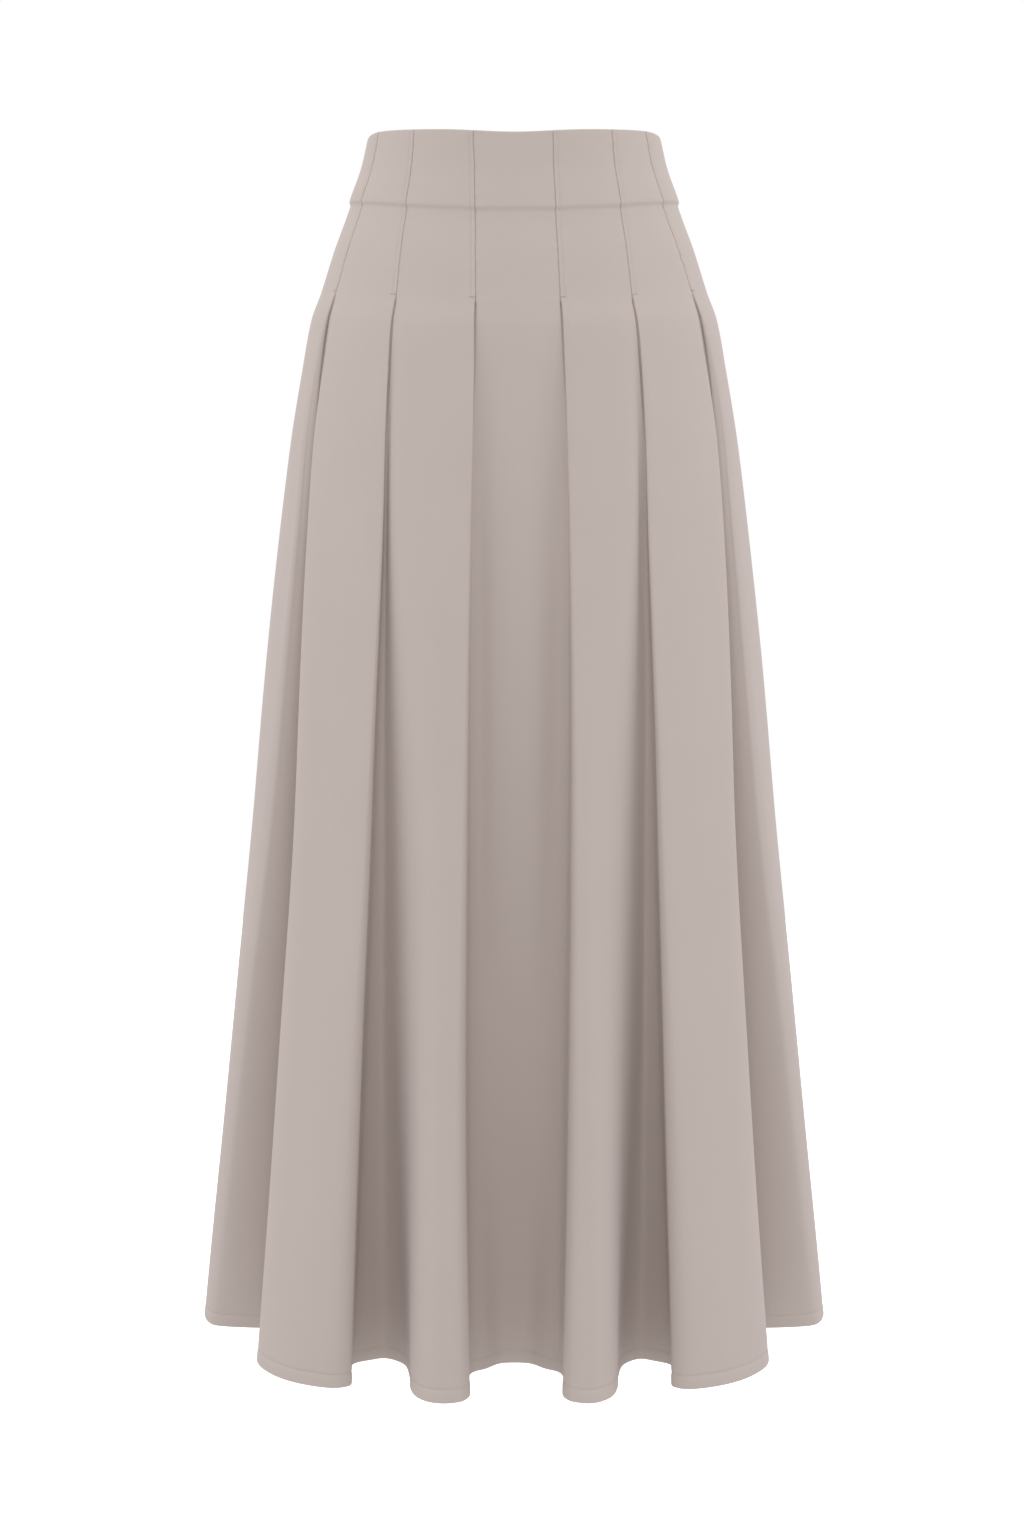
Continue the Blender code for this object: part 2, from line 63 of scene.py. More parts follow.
# ------------------------------------------------------------------------------ small helpers
def cubic(start: Values, start_rise: Values, end: Values, end_rise: Values,
          share: Values) -> Values:
    """Read a cubic curve between two points.

    Args:
        start: Value at its start.
        start_rise: Slope there, over the whole span.
        end: Value at its end.
        end_rise: Slope there, over the whole span.
        share: Where to read it, as a share of the span.

    Returns:
        The value there.
    """
    square, cube = share ** 2, share ** 3
    return ((2 * cube - 3 * square + 1) * start + (cube - 2 * square + share) * start_rise
            + (3 * square - 2 * cube) * end + (cube - square) * end_rise)


def curve_through(xs: Sequence[float], ys: Sequence[float], x: float) -> float:
    """Read a smooth curve through some points.

    Args:
        xs: Places along the curve, rising.
        ys: Values there.
        x: Where to read it; beyond the points the end values hold.

    Returns:
        The value at x.
    """
    last = len(xs) - 1
    if x <= xs[0]:
        return ys[0]
    if x >= xs[last]:
        return ys[last]
    i = max(k for k in range(last) if xs[k] <= x)
    span = xs[i + 1] - xs[i]

    def rise(k: int) -> float:
        """Slope at a point, from its neighbours, over this span."""
        low, high = max(k - 1, 0), min(k + 1, last)
        return span * (ys[high] - ys[low]) / (xs[high] - xs[low])

    return cubic(ys[i], rise(i), ys[i + 1], rise(i + 1), (x - xs[i]) / span)


def ramp(values: np.ndarray, start: float, end: float) -> np.ndarray:
    """Rise smoothly from 0 at start to 1 at end; start may be the greater."""
    u = np.clip((values - start) / (end - start), 0.0, 1.0)
    return u * u * (3.0 - 2.0 * u)


def bell(values: np.ndarray, spread: float) -> np.ndarray:
    """Fall smoothly from 1 at 0 to nothing, on both sides."""
    return np.exp(-(values / spread) ** 2)


def unit(vectors: np.ndarray) -> np.ndarray:
    """Scale vectors along the last axis to length 1."""
    return vectors / np.maximum(np.linalg.norm(vectors, axis=-1, keepdims=True), 1e-12)


def running_length(points: np.ndarray) -> np.ndarray:
    """Measure along lines of points.

    Args:
        points: Points, with each line along the last axis but one.

    Returns:
        Length of each line from its first point to each of its points.
    """
    steps = np.linalg.norm(np.diff(points, axis=-2), axis=-1)
    zero = np.zeros(steps.shape[:-1] + (1,))
    return np.concatenate([zero, np.cumsum(steps, axis=-1)], axis=-1)


def deselect_all() -> None:
    """Leave edit mode and clear the selection."""
    if bpy.context.object and bpy.context.object.mode != "OBJECT":
        bpy.ops.object.mode_set(mode="OBJECT")
    bpy.ops.object.select_all(action="DESELECT")


def edit_all() -> None:
    """Enter edit mode with everything selected."""
    bpy.ops.object.mode_set(mode="EDIT")
    bpy.ops.mesh.select_all(action="SELECT")


def mesh_object(name: str, points: np.ndarray, faces: Faces) -> bpy.types.Object:
    """Make a mesh object at the origin.

    Args:
        name: Its name.
        points: Vertices, one row each.
        faces: Vertex numbers of each face, anticlockwise from outside.

    Returns:
        The new object, linked to the scene.
    """
    mesh = bpy.data.meshes.new(name)
    mesh.from_pydata([tuple(p) for p in points], [], faces)
    mesh.update()
    obj = bpy.data.objects.new(name, mesh)
    bpy.context.scene.collection.objects.link(obj)
    return obj


def take_shape(model: bpy.types.Object) -> tuple[np.ndarray, Faces]:
    """Take the shape of a modelled piece that is to be copied, and delete the model.

    Args:
        model: The piece.

    Returns:
        Its points and its faces.
    """
    points = np.array([v.co[:] for v in model.data.vertices])
    faces = [tuple(p.vertices) for p in model.data.polygons]
    bpy.data.objects.remove(model)
    return points, faces


def lay_flat(obj: bpy.types.Object, flat: np.ndarray) -> None:
    """Write a piece's UV map, in metres.

    Args:
        obj: The piece.
        flat: Place of each of its vertices on the flat cloth.
    """
    layer = obj.data.uv_layers.new(name="cloth")
    corners = np.empty(len(obj.data.loops), dtype=np.int32)
    obj.data.loops.foreach_get("vertex_index", corners)
    layer.data.foreach_set("uv", flat[corners].astype(np.float32).ravel())


def smooth(mesh: bpy.types.Mesh, sharp: float = 50.0) -> None:
    """Shade a mesh smooth, but for edges that turn by more than some degrees."""
    mesh.shade_smooth()
    mesh.set_sharp_from_angle(angle=math.radians(sharp))


def dress(obj: bpy.types.Object, mat: bpy.types.Material, body: str) -> None:
    """Finish a piece.

    Args:
        obj: The piece.
        mat: Its material.
        body: The body that it rides on.
    """
    obj.data.materials.clear()
    obj.data.materials.append(mat)
    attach(obj, body)


# ------------------------------------------------------------------------- the skirt's envelope
class Level(NamedTuple):
    """A level line: how far below the waist it lies at the side, the half width of the oval
    there, its half depths as shares of that, and how much lower it hangs at the centres."""

    drop: float
    half_width: float
    front: float
    back: float
    front_dip: float
    back_dip: float


class Half(Enum):
    """Front or back half of the skirt."""

    FRONT = "front"
    BACK = "back"


class Side(Enum):
    """The wearer's side, as the sign of its X."""

    LEFT = 1.0
    RIGHT = -1.0


@dataclass(frozen=True)
class Envelope:
    """The oval that the crests of the pleats touch, from waist to hem."""

    length: float = 0.9897
    release: float = 0.1287
    facing: float = 0.0535
    dip_power: float = 1.5
    centre_nick: float = 0.0024    # extra dip of the top edge at the centre front
    nick_spread: float = 18.0      # degrees
    corner_drop: float = 0.0030    # the top edge is rounded down at the sides by this
    corner_spread: float = 15.0
    edge_reach: float = 0.0280     # both die out this far below the top edge
    levels: tuple[Level, ...] = (
        Level(0.0000, 0.1206, 0.760, 0.780, 0.0110, 0.0050),
        Level(0.0280, 0.1268, 0.765, 0.790, 0.0160, 0.0090),
        Level(0.0535, 0.1360, 0.770, 0.800, 0.0200, 0.0120),
        Level(0.0580, 0.1356, 0.771, 0.802, 0.0200, 0.0120),
        Level(0.0930, 0.1485, 0.780, 0.820, 0.0200, 0.0130),
        Level(0.1287, 0.1600, 0.787, 0.830, 0.0200, 0.0140),
        Level(0.1500, 0.1679, 0.792, 0.832, 0.0198, 0.0140),
        Level(0.1900, 0.1755, 0.798, 0.834, 0.0192, 0.0135),
        Level(0.2500, 0.1856, 0.806, 0.836, 0.0182, 0.0130),
        Level(0.3400, 0.1969, 0.816, 0.838, 0.0165, 0.0115),
        Level(0.4500, 0.2087, 0.828, 0.842, 0.0140, 0.0100),
        Level(0.5700, 0.2199, 0.840, 0.848, 0.0110, 0.0080),
        Level(0.6900, 0.2325, 0.850, 0.854, 0.0080, 0.0055),
        Level(0.8100, 0.2450, 0.858, 0.860, 0.0048, 0.0035),
        Level(0.9000, 0.2546, 0.864, 0.865, 0.0024, 0.0018),
        Level(0.9790, 0.2632, 0.868, 0.868, 0.0003, 0.0002),
        Level(0.9897, 0.2643, 0.869, 0.869, 0.0000, 0.0000),
    )

    def level(self, drop: float) -> Level:
        """Read the level line at any drop.

        Args:
            drop: How far below the waist it is.

        Returns:
            The level line.
        """
        drops = [row.drop for row in self.levels]
        fields = [curve_through(drops, [row[k] for row in self.levels], drop)
                  for k in range(1, len(Level._fields))]
        return Level(drop, *fields)

    @staticmethod
    def half_depth(level: Level, half: Half) -> float:
        """Half depth of the oval on its front or back half."""
        return level.half_width * (level.back if half is Half.BACK else level.front)

    def degrees(self, level: Level, half: Half, length: float, angle: float) -> float:
        """Turn a length along the oval into degrees.

        Args:
            level: The level line.
            half: Front or back.
            length: The length.
            angle: Where along the oval it lies.

        Returns:
            The degrees that it spans there.
        """
        t = math.radians(angle)
        speed = math.hypot(level.half_width * math.cos(t),
                           self.half_depth(level, half) * math.sin(t))
        return math.degrees(length / speed)

    def point(self, level: Level, side: Side, half: Half, angle: float,
              inset: float) -> tuple[float, float, float]:
        """Place a point of the cloth.

        Args:
            level: The level line that it is on.
            side: The wearer's side.
            half: Front or back.
            angle: Degrees out from the centre front or centre back.
            inset: Metres inside the oval, square to it.

        Returns:
            Its place in the skirt's frame.
        """
        t = math.radians(angle)
        depth = self.half_depth(level, half)
        across, along = math.sin(t) / level.half_width, math.cos(t) / depth
        size = math.hypot(across, along)
        x = level.half_width * math.sin(t) - inset * across / size
        y = depth * math.cos(t) - inset * along / size
        dip = level.back_dip if half is Half.BACK else level.front_dip
        z = -level.drop - dip * max(math.cos(t), 0.0) ** self.dip_power
        near_top = max(0.0, 1.0 - level.drop / self.edge_reach)
        if half is Half.FRONT:
            z -= self.centre_nick * bell(angle, self.nick_spread) * near_top
        z -= self.corner_drop * bell(90.0 - angle, self.corner_spread) * near_top
        return side.value * x, y if half is Half.BACK else -y, z


# ------------------------------------------------------------------------------- the pleats
class Line(NamedTuple):
    """Angle of a line down the skirt, out from the centre, at eight drops."""

    waist: float
    facing: float
    release: float
    upper: float
    hip: float
    middle: float
    lower: float
    hem: float


class Pleat(NamedTuple):
    """A pleat.

    Attributes:
        overlap: How far its inner fold lies behind its edge at the hem.
        early: The same just below the release.
        depth: Its depth at the hem.
        power: How late the depth grows.
        snap: Depth that it gains at once below the release.
        roll: Width from its edge to the crest.
        roll_power: How late the roll grows.
        cup: Share of the depth where the recess turns up behind the edge.
        swell: How far the lobe outside it swells.
    """

    overlap: float
    early: float
    depth: float
    power: float
    snap: float
    roll: float
    roll_power: float
    cup: float
    swell: float


class Quarter(NamedTuple):
    """A quarter of the skirt: where it is, which side's lines it is cut by, how many degrees
    it swings outwards at the hem, and its shares of the pleat depth and of the two brows'
    breadth."""

    side: Side
    half: Half
    cut: Side
    swing: float
    fullness: float
    breadth: tuple[float, float]


class Station(NamedTuple):
    """A point of the plan section beside a line: its offset where the pleat is stitched, its
    offset at the hem, and its share of the recess depth, None at the inner fold."""

    pressed: float
    opened: float
    depth: Optional[float]


class Brow(NamedTuple):
    """A point where the lobe inside a recess falls into it: its offset from the edge line at
    eight drops, and its share of the recess depth."""

    offset: Line
    depth: float


class SeamEdge(Enum):
    """What an edge of a gore does at its seam."""

    LAPPED = "its fold lies on top"
    UNDER = "it lies under the next gore's fold"
    PLAIN = "it butts on its neighbour, over the zip"


class GoreCut(NamedTuple):
    """A gore in order round the skirt, and what its first and last edge do."""

    name: str
    first: SeamEdge
    last: SeamEdge


@dataclass(frozen=True)
class PleatPlan:
    """The closed plan section of the pleated cloth at any level. Reaches are shares of the
    length below the release."""

    envelope: Envelope = field(default_factory=Envelope)
    snap_reach: float = 0.03
    overlap_power: float = 2.5
    early_reach: float = 0.10
    pressed_reach: float = 0.15    # over which the pressed edge relaxes
    swell_power: float = 3.0
    tuck_rise: float = 0.17        # share of the depth between heel and inner fold
    centre_bowl: Line = Line(-0.17, -0.17, -0.17, -0.17, -0.16, -0.06, 0.14, 0.27)
    bowl_power: float = 3.0
    floor_share: float = 0.72      # of the way from the last brow to the heel
    last_pleat: int = 3
    line_drops: Line = Line(0.0, 0.055, 0.1287, 0.20, 0.32, 0.52, 0.76, 0.9897)
    edge_lines: dict[tuple[Side, int], Line] = field(default_factory=lambda: {
        (Side.RIGHT, 1): Line(15.7, 13.2, 10.9, 10.0, 9.9, 9.85, 9.4, 7.9),
        (Side.RIGHT, 2): Line(41.4, 39.2, 35.6, 33.9, 31.9, 31.4, 31.0, 30.3),
        (Side.RIGHT, 3): Line(65.5, 65.3, 64.3, 66.0, 63.8, 65.0, 72.2, 79.5),
        (Side.LEFT, 1): Line(14.7, 13.9, 13.0, 12.8, 12.7, 12.15, 10.5, 8.6),
        (Side.LEFT, 2): Line(40.1, 38.5, 35.5, 34.5, 32.6, 31.6, 30.2, 29.1),
        (Side.LEFT, 3): Line(61.5, 62.2, 64.0, 67.2, 65.5, 66.0, 72.2, 79.5),
    })
    pleats: tuple[Pleat, ...] = (
        Pleat(0.0060, 0.0022, 0.095, 1.25, 0.0020, 0.0100, 1.7, 0.74, 0.0024),
        Pleat(0.0280, 0.0022, 0.080, 1.55, 0.0012, 0.0135, 2.6, 0.88, 0.0034),
        Pleat(-0.0120, -0.0050, 0.074, 1.30, 0.0035, 0.0360, 1.5, 0.84, 0.0000),
    )
    quarters: tuple[Quarter, ...] = (
        Quarter(Side.LEFT, Half.FRONT, Side.LEFT, 0.0, 1.00, (1.00, 1.04)),
        Quarter(Side.RIGHT, Half.FRONT, Side.RIGHT, 0.0, 1.00, (1.00, 1.00)),
        Quarter(Side.LEFT, Half.BACK, Side.RIGHT, 1.6, 0.94, (1.04, 0.97)),
        Quarter(Side.RIGHT, Half.BACK, Side.LEFT, -0.8, 0.97, (0.92, 1.03)),
    )
    under: tuple[Station, ...] = (
        Station(0.0000, 1.00, None),
        Station(0.0008, 0.55, 0.42),
        Station(0.0016, 0.00, 0.175),
    )
    roll: tuple[Station, ...] = (
        Station(0.0024, 0.15, 0.095),
        Station(0.0040, 0.46, 0.040),
        Station(0.0060, 1.00, 0.000),
    )
    brows: dict[int, tuple[Brow, ...]] = field(default_factory=lambda: {
        2: (Brow(Line(-.016, -.016, -.016, -.0190, -.0290, -.0560, -.0640, -.0690), 0.00),
            Brow(Line(-.011, -.011, -.011, -.0120, -.0145, -.0415, -.0530, -.0590), 0.10),
            Brow(Line(-.008, -.008, -.008, -.0080, -.0082, -.0300, -.0425, -.0491), 0.30),
            Brow(Line(-.006, -.006, -.006, -.0045, -.0035, -.0175, -.0285, -.0381), 0.60),
            Brow(Line(-.004, -.004, -.004, -.0015, +.0004, -.0040, -.0080, -.0160), 0.93)),
        3: (Brow(Line(-.016, -.016, -.016, -.0165, -.0190, -.0420, -.0855, -.1290), 0.00),
            Brow(Line(-.011, -.011, -.011, -.0122, -.0140, -.0330, -.0700, -.1100), 0.08),
            Brow(Line(-.008, -.008, -.008, -.0108, -.0127, -.0285, -.0590, -.0940), 0.22),
            Brow(Line(-.006, -.006, -.006, -.0098, -.0114, -.0225, -.0470, -.0770), 0.62),
            Brow(Line(-.004, -.004, -.004, -.0082, -.0096, -.0140, -.0330, -.0580), 0.92)),
    })
    brow_shifts: dict[tuple[Side, int], Line] = field(default_factory=lambda: {
        (Side.LEFT, 2): Line(0.0, 0.0, 0.0, -.0015, -.0030, 0.0, +.0042, +.0045)})
    heel: Station = Station(-0.0008, 0.75, None)
    centre_shares: tuple[float, ...] = (0.0, 0.45, 0.85)   # from the centre to the edge
    face_shares: tuple[float, ...] = (0.33, 0.67)          # on a lobe, between its crests
    side_shares: tuple[float, ...] = (0.33, 0.66)          # from the last crest to the side
    gores: tuple[GoreCut, ...] = (
        GoreCut("gore_front_centre", SeamEdge.UNDER, SeamEdge.UNDER),
        GoreCut("gore_front_left_inner", SeamEdge.LAPPED, SeamEdge.UNDER),
        GoreCut("gore_front_left_outer", SeamEdge.LAPPED, SeamEdge.UNDER),
        GoreCut("gore_side_left", SeamEdge.LAPPED, SeamEdge.LAPPED),
        GoreCut("gore_back_left_outer", SeamEdge.UNDER, SeamEdge.LAPPED),
        GoreCut("gore_back_left_inner", SeamEdge.UNDER, SeamEdge.LAPPED),
        GoreCut("gore_back_centre_left", SeamEdge.UNDER, SeamEdge.PLAIN),
        GoreCut("gore_back_centre_right", SeamEdge.PLAIN, SeamEdge.UNDER),
        GoreCut("gore_back_right_inner", SeamEdge.LAPPED, SeamEdge.UNDER),
        GoreCut("gore_back_right_outer", SeamEdge.LAPPED, SeamEdge.UNDER),
        GoreCut("gore_side_right", SeamEdge.LAPPED, SeamEdge.LAPPED),
        GoreCut("gore_front_right_outer", SeamEdge.UNDER, SeamEdge.LAPPED),
        GoreCut("gore_front_right_inner", SeamEdge.UNDER, SeamEdge.LAPPED),
    )

    def opened(self, drop: float) -> float:
        """Share of the way from release to hem."""
        envelope = self.envelope
        return max(0.0, (drop - envelope.release) / (envelope.length - envelope.release))

    def edge(self, quarter: Quarter, rank: int, drop: float) -> float:
        """Angle of an edge line at a drop, with the quarter's own swing."""
        angle = curve_through(self.line_drops, self.edge_lines[quarter.cut, rank], drop)
        return angle + quarter.swing * self.opened(drop) * (rank < self.last_pleat)

    def fold(self, quarter: Quarter, rank: int,
             level: Level) -> tuple[list[Spot], list[Spot]]:
        """Work out one pleat at one level.

        Args:
            quarter: The quarter that it is in.
            rank: The pleat's number, out from the centre.
            level: The level line.

        Returns:
            The recess part, which belongs to the gore nearer the centre, and the lobe part.
            Both hold the inner fold.
        """
        pleat, opened = self.pleats[rank - 1], self.opened(level.drop)
        pressed = math.exp(-opened / self.pressed_reach)
        edge = self.edge(quarter, rank, level.drop)
        snap = pleat.snap * (1.0 - math.exp(-opened / self.snap_reach))
        depth = quarter.fullness * (snap + pleat.depth * opened ** pleat.power)
        overlap = (pleat.early * (1.0 - bell(opened, self.early_reach))
                   + pleat.overlap * opened ** self.overlap_power)
        roll = pleat.roll * opened ** pleat.roll_power

        def place(length: float, share: float) -> Spot:
            """Spot at a length from the edge and a share of the depth."""
            turn = self.envelope.degrees(level, quarter.half, length, edge)
            return edge + turn, share * depth

        cup = 1.0 - (1.0 - pleat.cup) * opened
        tuck = cup - self.tuck_rise
        lobe = [place(s.pressed * pressed + s.opened * overlap,
                      tuck if s.depth is None else s.depth) for s in self.under]
        lobe += [place(s.pressed * pressed + s.opened * roll, s.depth) for s in self.roll]
        heel = place(self.heel.pressed * pressed + self.heel.opened * overlap, cup)
        if rank == 1:
            bowl = curve_through(self.line_drops, self.centre_bowl, level.drop)
            recess = [(edge * share, depth * (1.0 - bowl * share ** self.bowl_power))
                      for share in self.centre_shares]
        else:
            shifts = self.brow_shifts.get((quarter.cut, rank))
            shift = curve_through(self.line_drops, shifts, level.drop) if shifts else 0.0
            recess = [place(quarter.breadth[rank - 2]
                            * curve_through(self.line_drops, brow.offset, level.drop) + shift,
                            brow.depth) for brow in self.brows[rank]]
            foot = recess[-1][0]
            recess.append((foot + self.floor_share * (heel[0] - foot), depth))
        return recess + [heel, lobe[0]], lobe

    @staticmethod
    def between(start: Spot, end: Spot, shares: Sequence[float], swell: float) -> list[Spot]:
        """Spots between two crests, swelled outwards."""
        return [(start[0] + share * (end[0] - start[0]),
                 start[1] + share * (end[1] - start[1]) - swell) for share in shares]

    def quarter_runs(self, quarter: Quarter, level: Level) -> list[list]:
        """Work out one quarter at one level.

        Args:
            quarter: The quarter.
            level: The level line.

        Returns:
            Points of its centre, inner, outer and side gores, in order outwards.
        """
        folds = {rank: self.fold(quarter, rank, level)
                 for rank in range(1, self.last_pleat + 1)}
        growth = self.opened(level.drop) ** self.swell_power
        gores = [folds[1][0]]
        for rank in (1, 2):
            lobe, recess = folds[rank][1], folds[rank + 1][0]
            swell = self.pleats[rank - 1].swell * growth
            gores.append(lobe + self.between(lobe[-1], recess[0], self.face_shares, swell)
                         + recess)
        lobe, side = folds[3][1], (90.0, 0.0)
        gores.append(lobe + self.between(lobe[-1], side, self.side_shares, 0.0) + [side])
        return [[self.envelope.point(level, quarter.side, quarter.half, *station)
                 for station in gore] for gore in gores]

    def runs(self, drop: float) -> list[list]:
        """Work out the whole section at one level.

        Args:
            drop: How far below the waist it is.

        Returns:
            Points of every gore in order, anticlockwise from above.
        """
        level = self.envelope.level(drop)
        lf, rf, lb, rb = (self.quarter_runs(quarter, level) for quarter in self.quarters)
        return [
            rf[0][::-1] + lf[0][1:], lf[1], lf[2], lf[3] + lb[3][::-1][1:],
            lb[2][::-1], lb[1][::-1], lb[0][::-1],
            rb[0], rb[1], rb[2], rb[3] + rf[3][::-1][1:], rf[2][::-1], rf[1][::-1],
        ]


# ------------------------------------------------------------------- the finer form of the cloth
class RowBand(NamedTuple):
    """A stretch of the skirt and the spacing of its rows."""

    start: float
    spacing: float


class Crease(NamedTuple):
    """A soft ridge, or a trough where rise is negative, that runs down a lobe. The bearing is
    in degrees round from the centre front, growing towards the wearer's left. Spread is its
    half width, all in metres but for the bearings."""

    rise: float
    spread: float
    drops: tuple[float, ...]
    bearings: tuple[float, ...]


@dataclass(frozen=True)
class SeamWork:
    """Sizes of the sewn seams, in metres across the seam."""

    crevice: float = 0.0005        # depth of the line where two gores meet
    lip_rise: float = 0.00030      # the fold on top stands proud by this
    lip_start: float = 0.0004
    lip_end: float = 0.0029
    groove_at: float = 0.0036      # edge stitching, from the seam
    groove_depth: float = 0.00015
    groove_spread: float = 0.0006
    under_spread: float = 0.0005
    slit: float = 0.0015           # depth of the line below the release, where folds touch
    slit_spread: float = 0.0007
    slit_start: float = 0.004      # shares of the opened length over which the slit deepens,
    slit_full: float = 0.064       # stays and dies out
    slit_end: float = 0.16
    relax: float = 0.05            # share of the opened length over which the lip dies out
    stitched_end: float = 0.0015   # stitching stops this far above the release
    stitched_fade: float = 0.001
    pucker: float = 0.00022
    pucker_reach: float = 0.007
    pucker_waves: tuple[float, float, float] = (410.0, 167.0, 733.0)   # radians to the metre
    pucker_turn: float = 1.7       # between gores, so that their puckers differ
    pucker_fine: float = 0.6

    def profile(self, edge: SeamEdge, away: np.ndarray, sewn: np.ndarray,
                lip: np.ndarray) -> np.ndarray:
        """Height of the cloth beside a seam.

        Args:
            edge: What the gore does at this seam.
            away: Distance from the seam.
            sewn: 1 on the stitched rows and 0 below.
            lip: How much of the lip is left on each row.

        Returns:
            Height over the plain surface, for each point.
        """
        under = -self.crevice * bell(away, self.under_spread)
        if edge is SeamEdge.PLAIN:
            return under
        if edge is SeamEdge.UNDER:
            return under * lip
        start = ramp(away, 0.0, self.lip_start)
        rise = start * ramp(away, self.groove_at, self.lip_end)
        groove = bell(away - self.groove_at, self.groove_spread)
        return ((self.lip_rise * rise - self.crevice * (1.0 - start)) * lip
                - self.groove_depth * groove * sewn)

    def slits(self, opened: np.ndarray, away: np.ndarray) -> np.ndarray:
        """Depth of the line below the release, where two folds still touch.

        Args:
            opened: Share of the way from release to hem, for each row.
            away: Distance from the seam.

        Returns:
            The depth, for each point.
        """
        strength = (ramp(opened, 0.0, self.slit_start)
                    * ramp(opened, self.slit_end, self.slit_full))
        return self.slit * strength * bell(away, self.slit_spread)

    def puckers(self, drops: np.ndarray, away: np.ndarray, gore: str) -> np.ndarray:
        """Height of the faint puckers that the stitches draw up.

        Args:
            drops: How far below the waist each row is.
            away: Distance from the seam.
            gore: Name of the gore, whose length sets where its puckers fall.

        Returns:
            The height, for each point.
        """
        long, slow, fine = self.pucker_waves
        wave = (np.sin(drops * long + self.pucker_turn * len(gore)) * np.sin(drops * slow)
                + self.pucker_fine * np.sin(drops * fine))[:, None]
        return self.pucker * wave * bell(away, self.pucker_reach)


@dataclass(frozen=True)
class EdgeWork:
    """Sizes of the facing and the hem, in metres."""

    cloth: float = 0.0008          # wall of single cloth
    doubled: float = 0.0019        # wall where it is faced or turned
    step: float = 0.0010           # over which the wall changes
    ledge: float = 0.00016         # the facing's edge shows through by this
    ledge_groove: float = 0.00015
    ledge_low: float = 0.0024      # the groove lies this far below the facing's edge
    ledge_spread: float = 0.0016
    ledge_clear: float = 0.012     # it fades this near a seam
    hem_turn: float = 0.0105       # depth of the turned hem
    hem_groove: float = 0.00035
    hem_spread: float = 0.0009
    hem_swell: float = 0.00030
    hem_full: float = 0.6          # share of the turn above which the swell dies out
    rim_steps: int = 5

    def wall(self, drops: np.ndarray, envelope: Envelope) -> np.ndarray:
        """Thickness of the cloth at each row.

        Args:
            drops: How far below the waist each row is.
            envelope: The skirt's envelope.

        Returns:
            The thickness.
        """
        faced = ramp(drops, envelope.facing + self.step, envelope.facing)
        turned = ramp(drops, envelope.length - self.hem_turn - self.step,
                      envelope.length - self.hem_turn)
        return self.cloth + (self.doubled - self.cloth) * np.maximum(faced, turned)

    def relief(self, drops: np.ndarray, clear: np.ndarray, envelope: Envelope) -> np.ndarray:
        """Height of the facing's print and the hem's stitch line over the plain surface.

        Args:
            drops: How far below the waist each row is.
            clear: Distance of each point from the nearer seam.
            envelope: The skirt's envelope.

        Returns:
            The height, for each point.
        """
        below = drops - envelope.facing
        ledge = (self.ledge * ramp(below, 2.0 * self.step, 0.0)
                 - self.ledge_groove * bell(below - self.ledge_low, self.ledge_spread))
        up = envelope.length - drops
        hem = (self.hem_swell * ramp(up, self.hem_turn, self.hem_full * self.hem_turn)
               - self.hem_groove * bell(up - self.hem_turn, self.hem_spread))
        return ledge[:, None] * ramp(clear, 0.0, self.ledge_clear) + hem[:, None]


@dataclass
class GoreCloth:
    """One gore's finished outer face.

    Attributes:
        cut: The gore and its edges.
        face: Outer points, rows down and columns round.
        outward: Unit vectors out of the cloth there.
        across: Length along each row from its first column.
    """

    cut: GoreCut
    face: np.ndarray
    outward: np.ndarray
    across: np.ndarray

    def beside(self, edge_is_first: bool, away: float) -> tuple[np.ndarray, np.ndarray]:
        """Follow a line down the gore.

        Args:
            edge_is_first: Whether it runs beside the first or the last edge.
            away: Its distance from that edge.

        Returns:
            Its points and the outward vectors there.
        """
        points, normals = [], []
        for row, normal, across in zip(self.face, self.outward, self.across):
            at = away if edge_is_first else across[-1] - away
            points.append([np.interp(at, across, row[:, k]) for k in range(3)])
            normals.append([np.interp(at, across, normal[:, k]) for k in range(3)])
        return np.array(points), unit(np.array(normals))


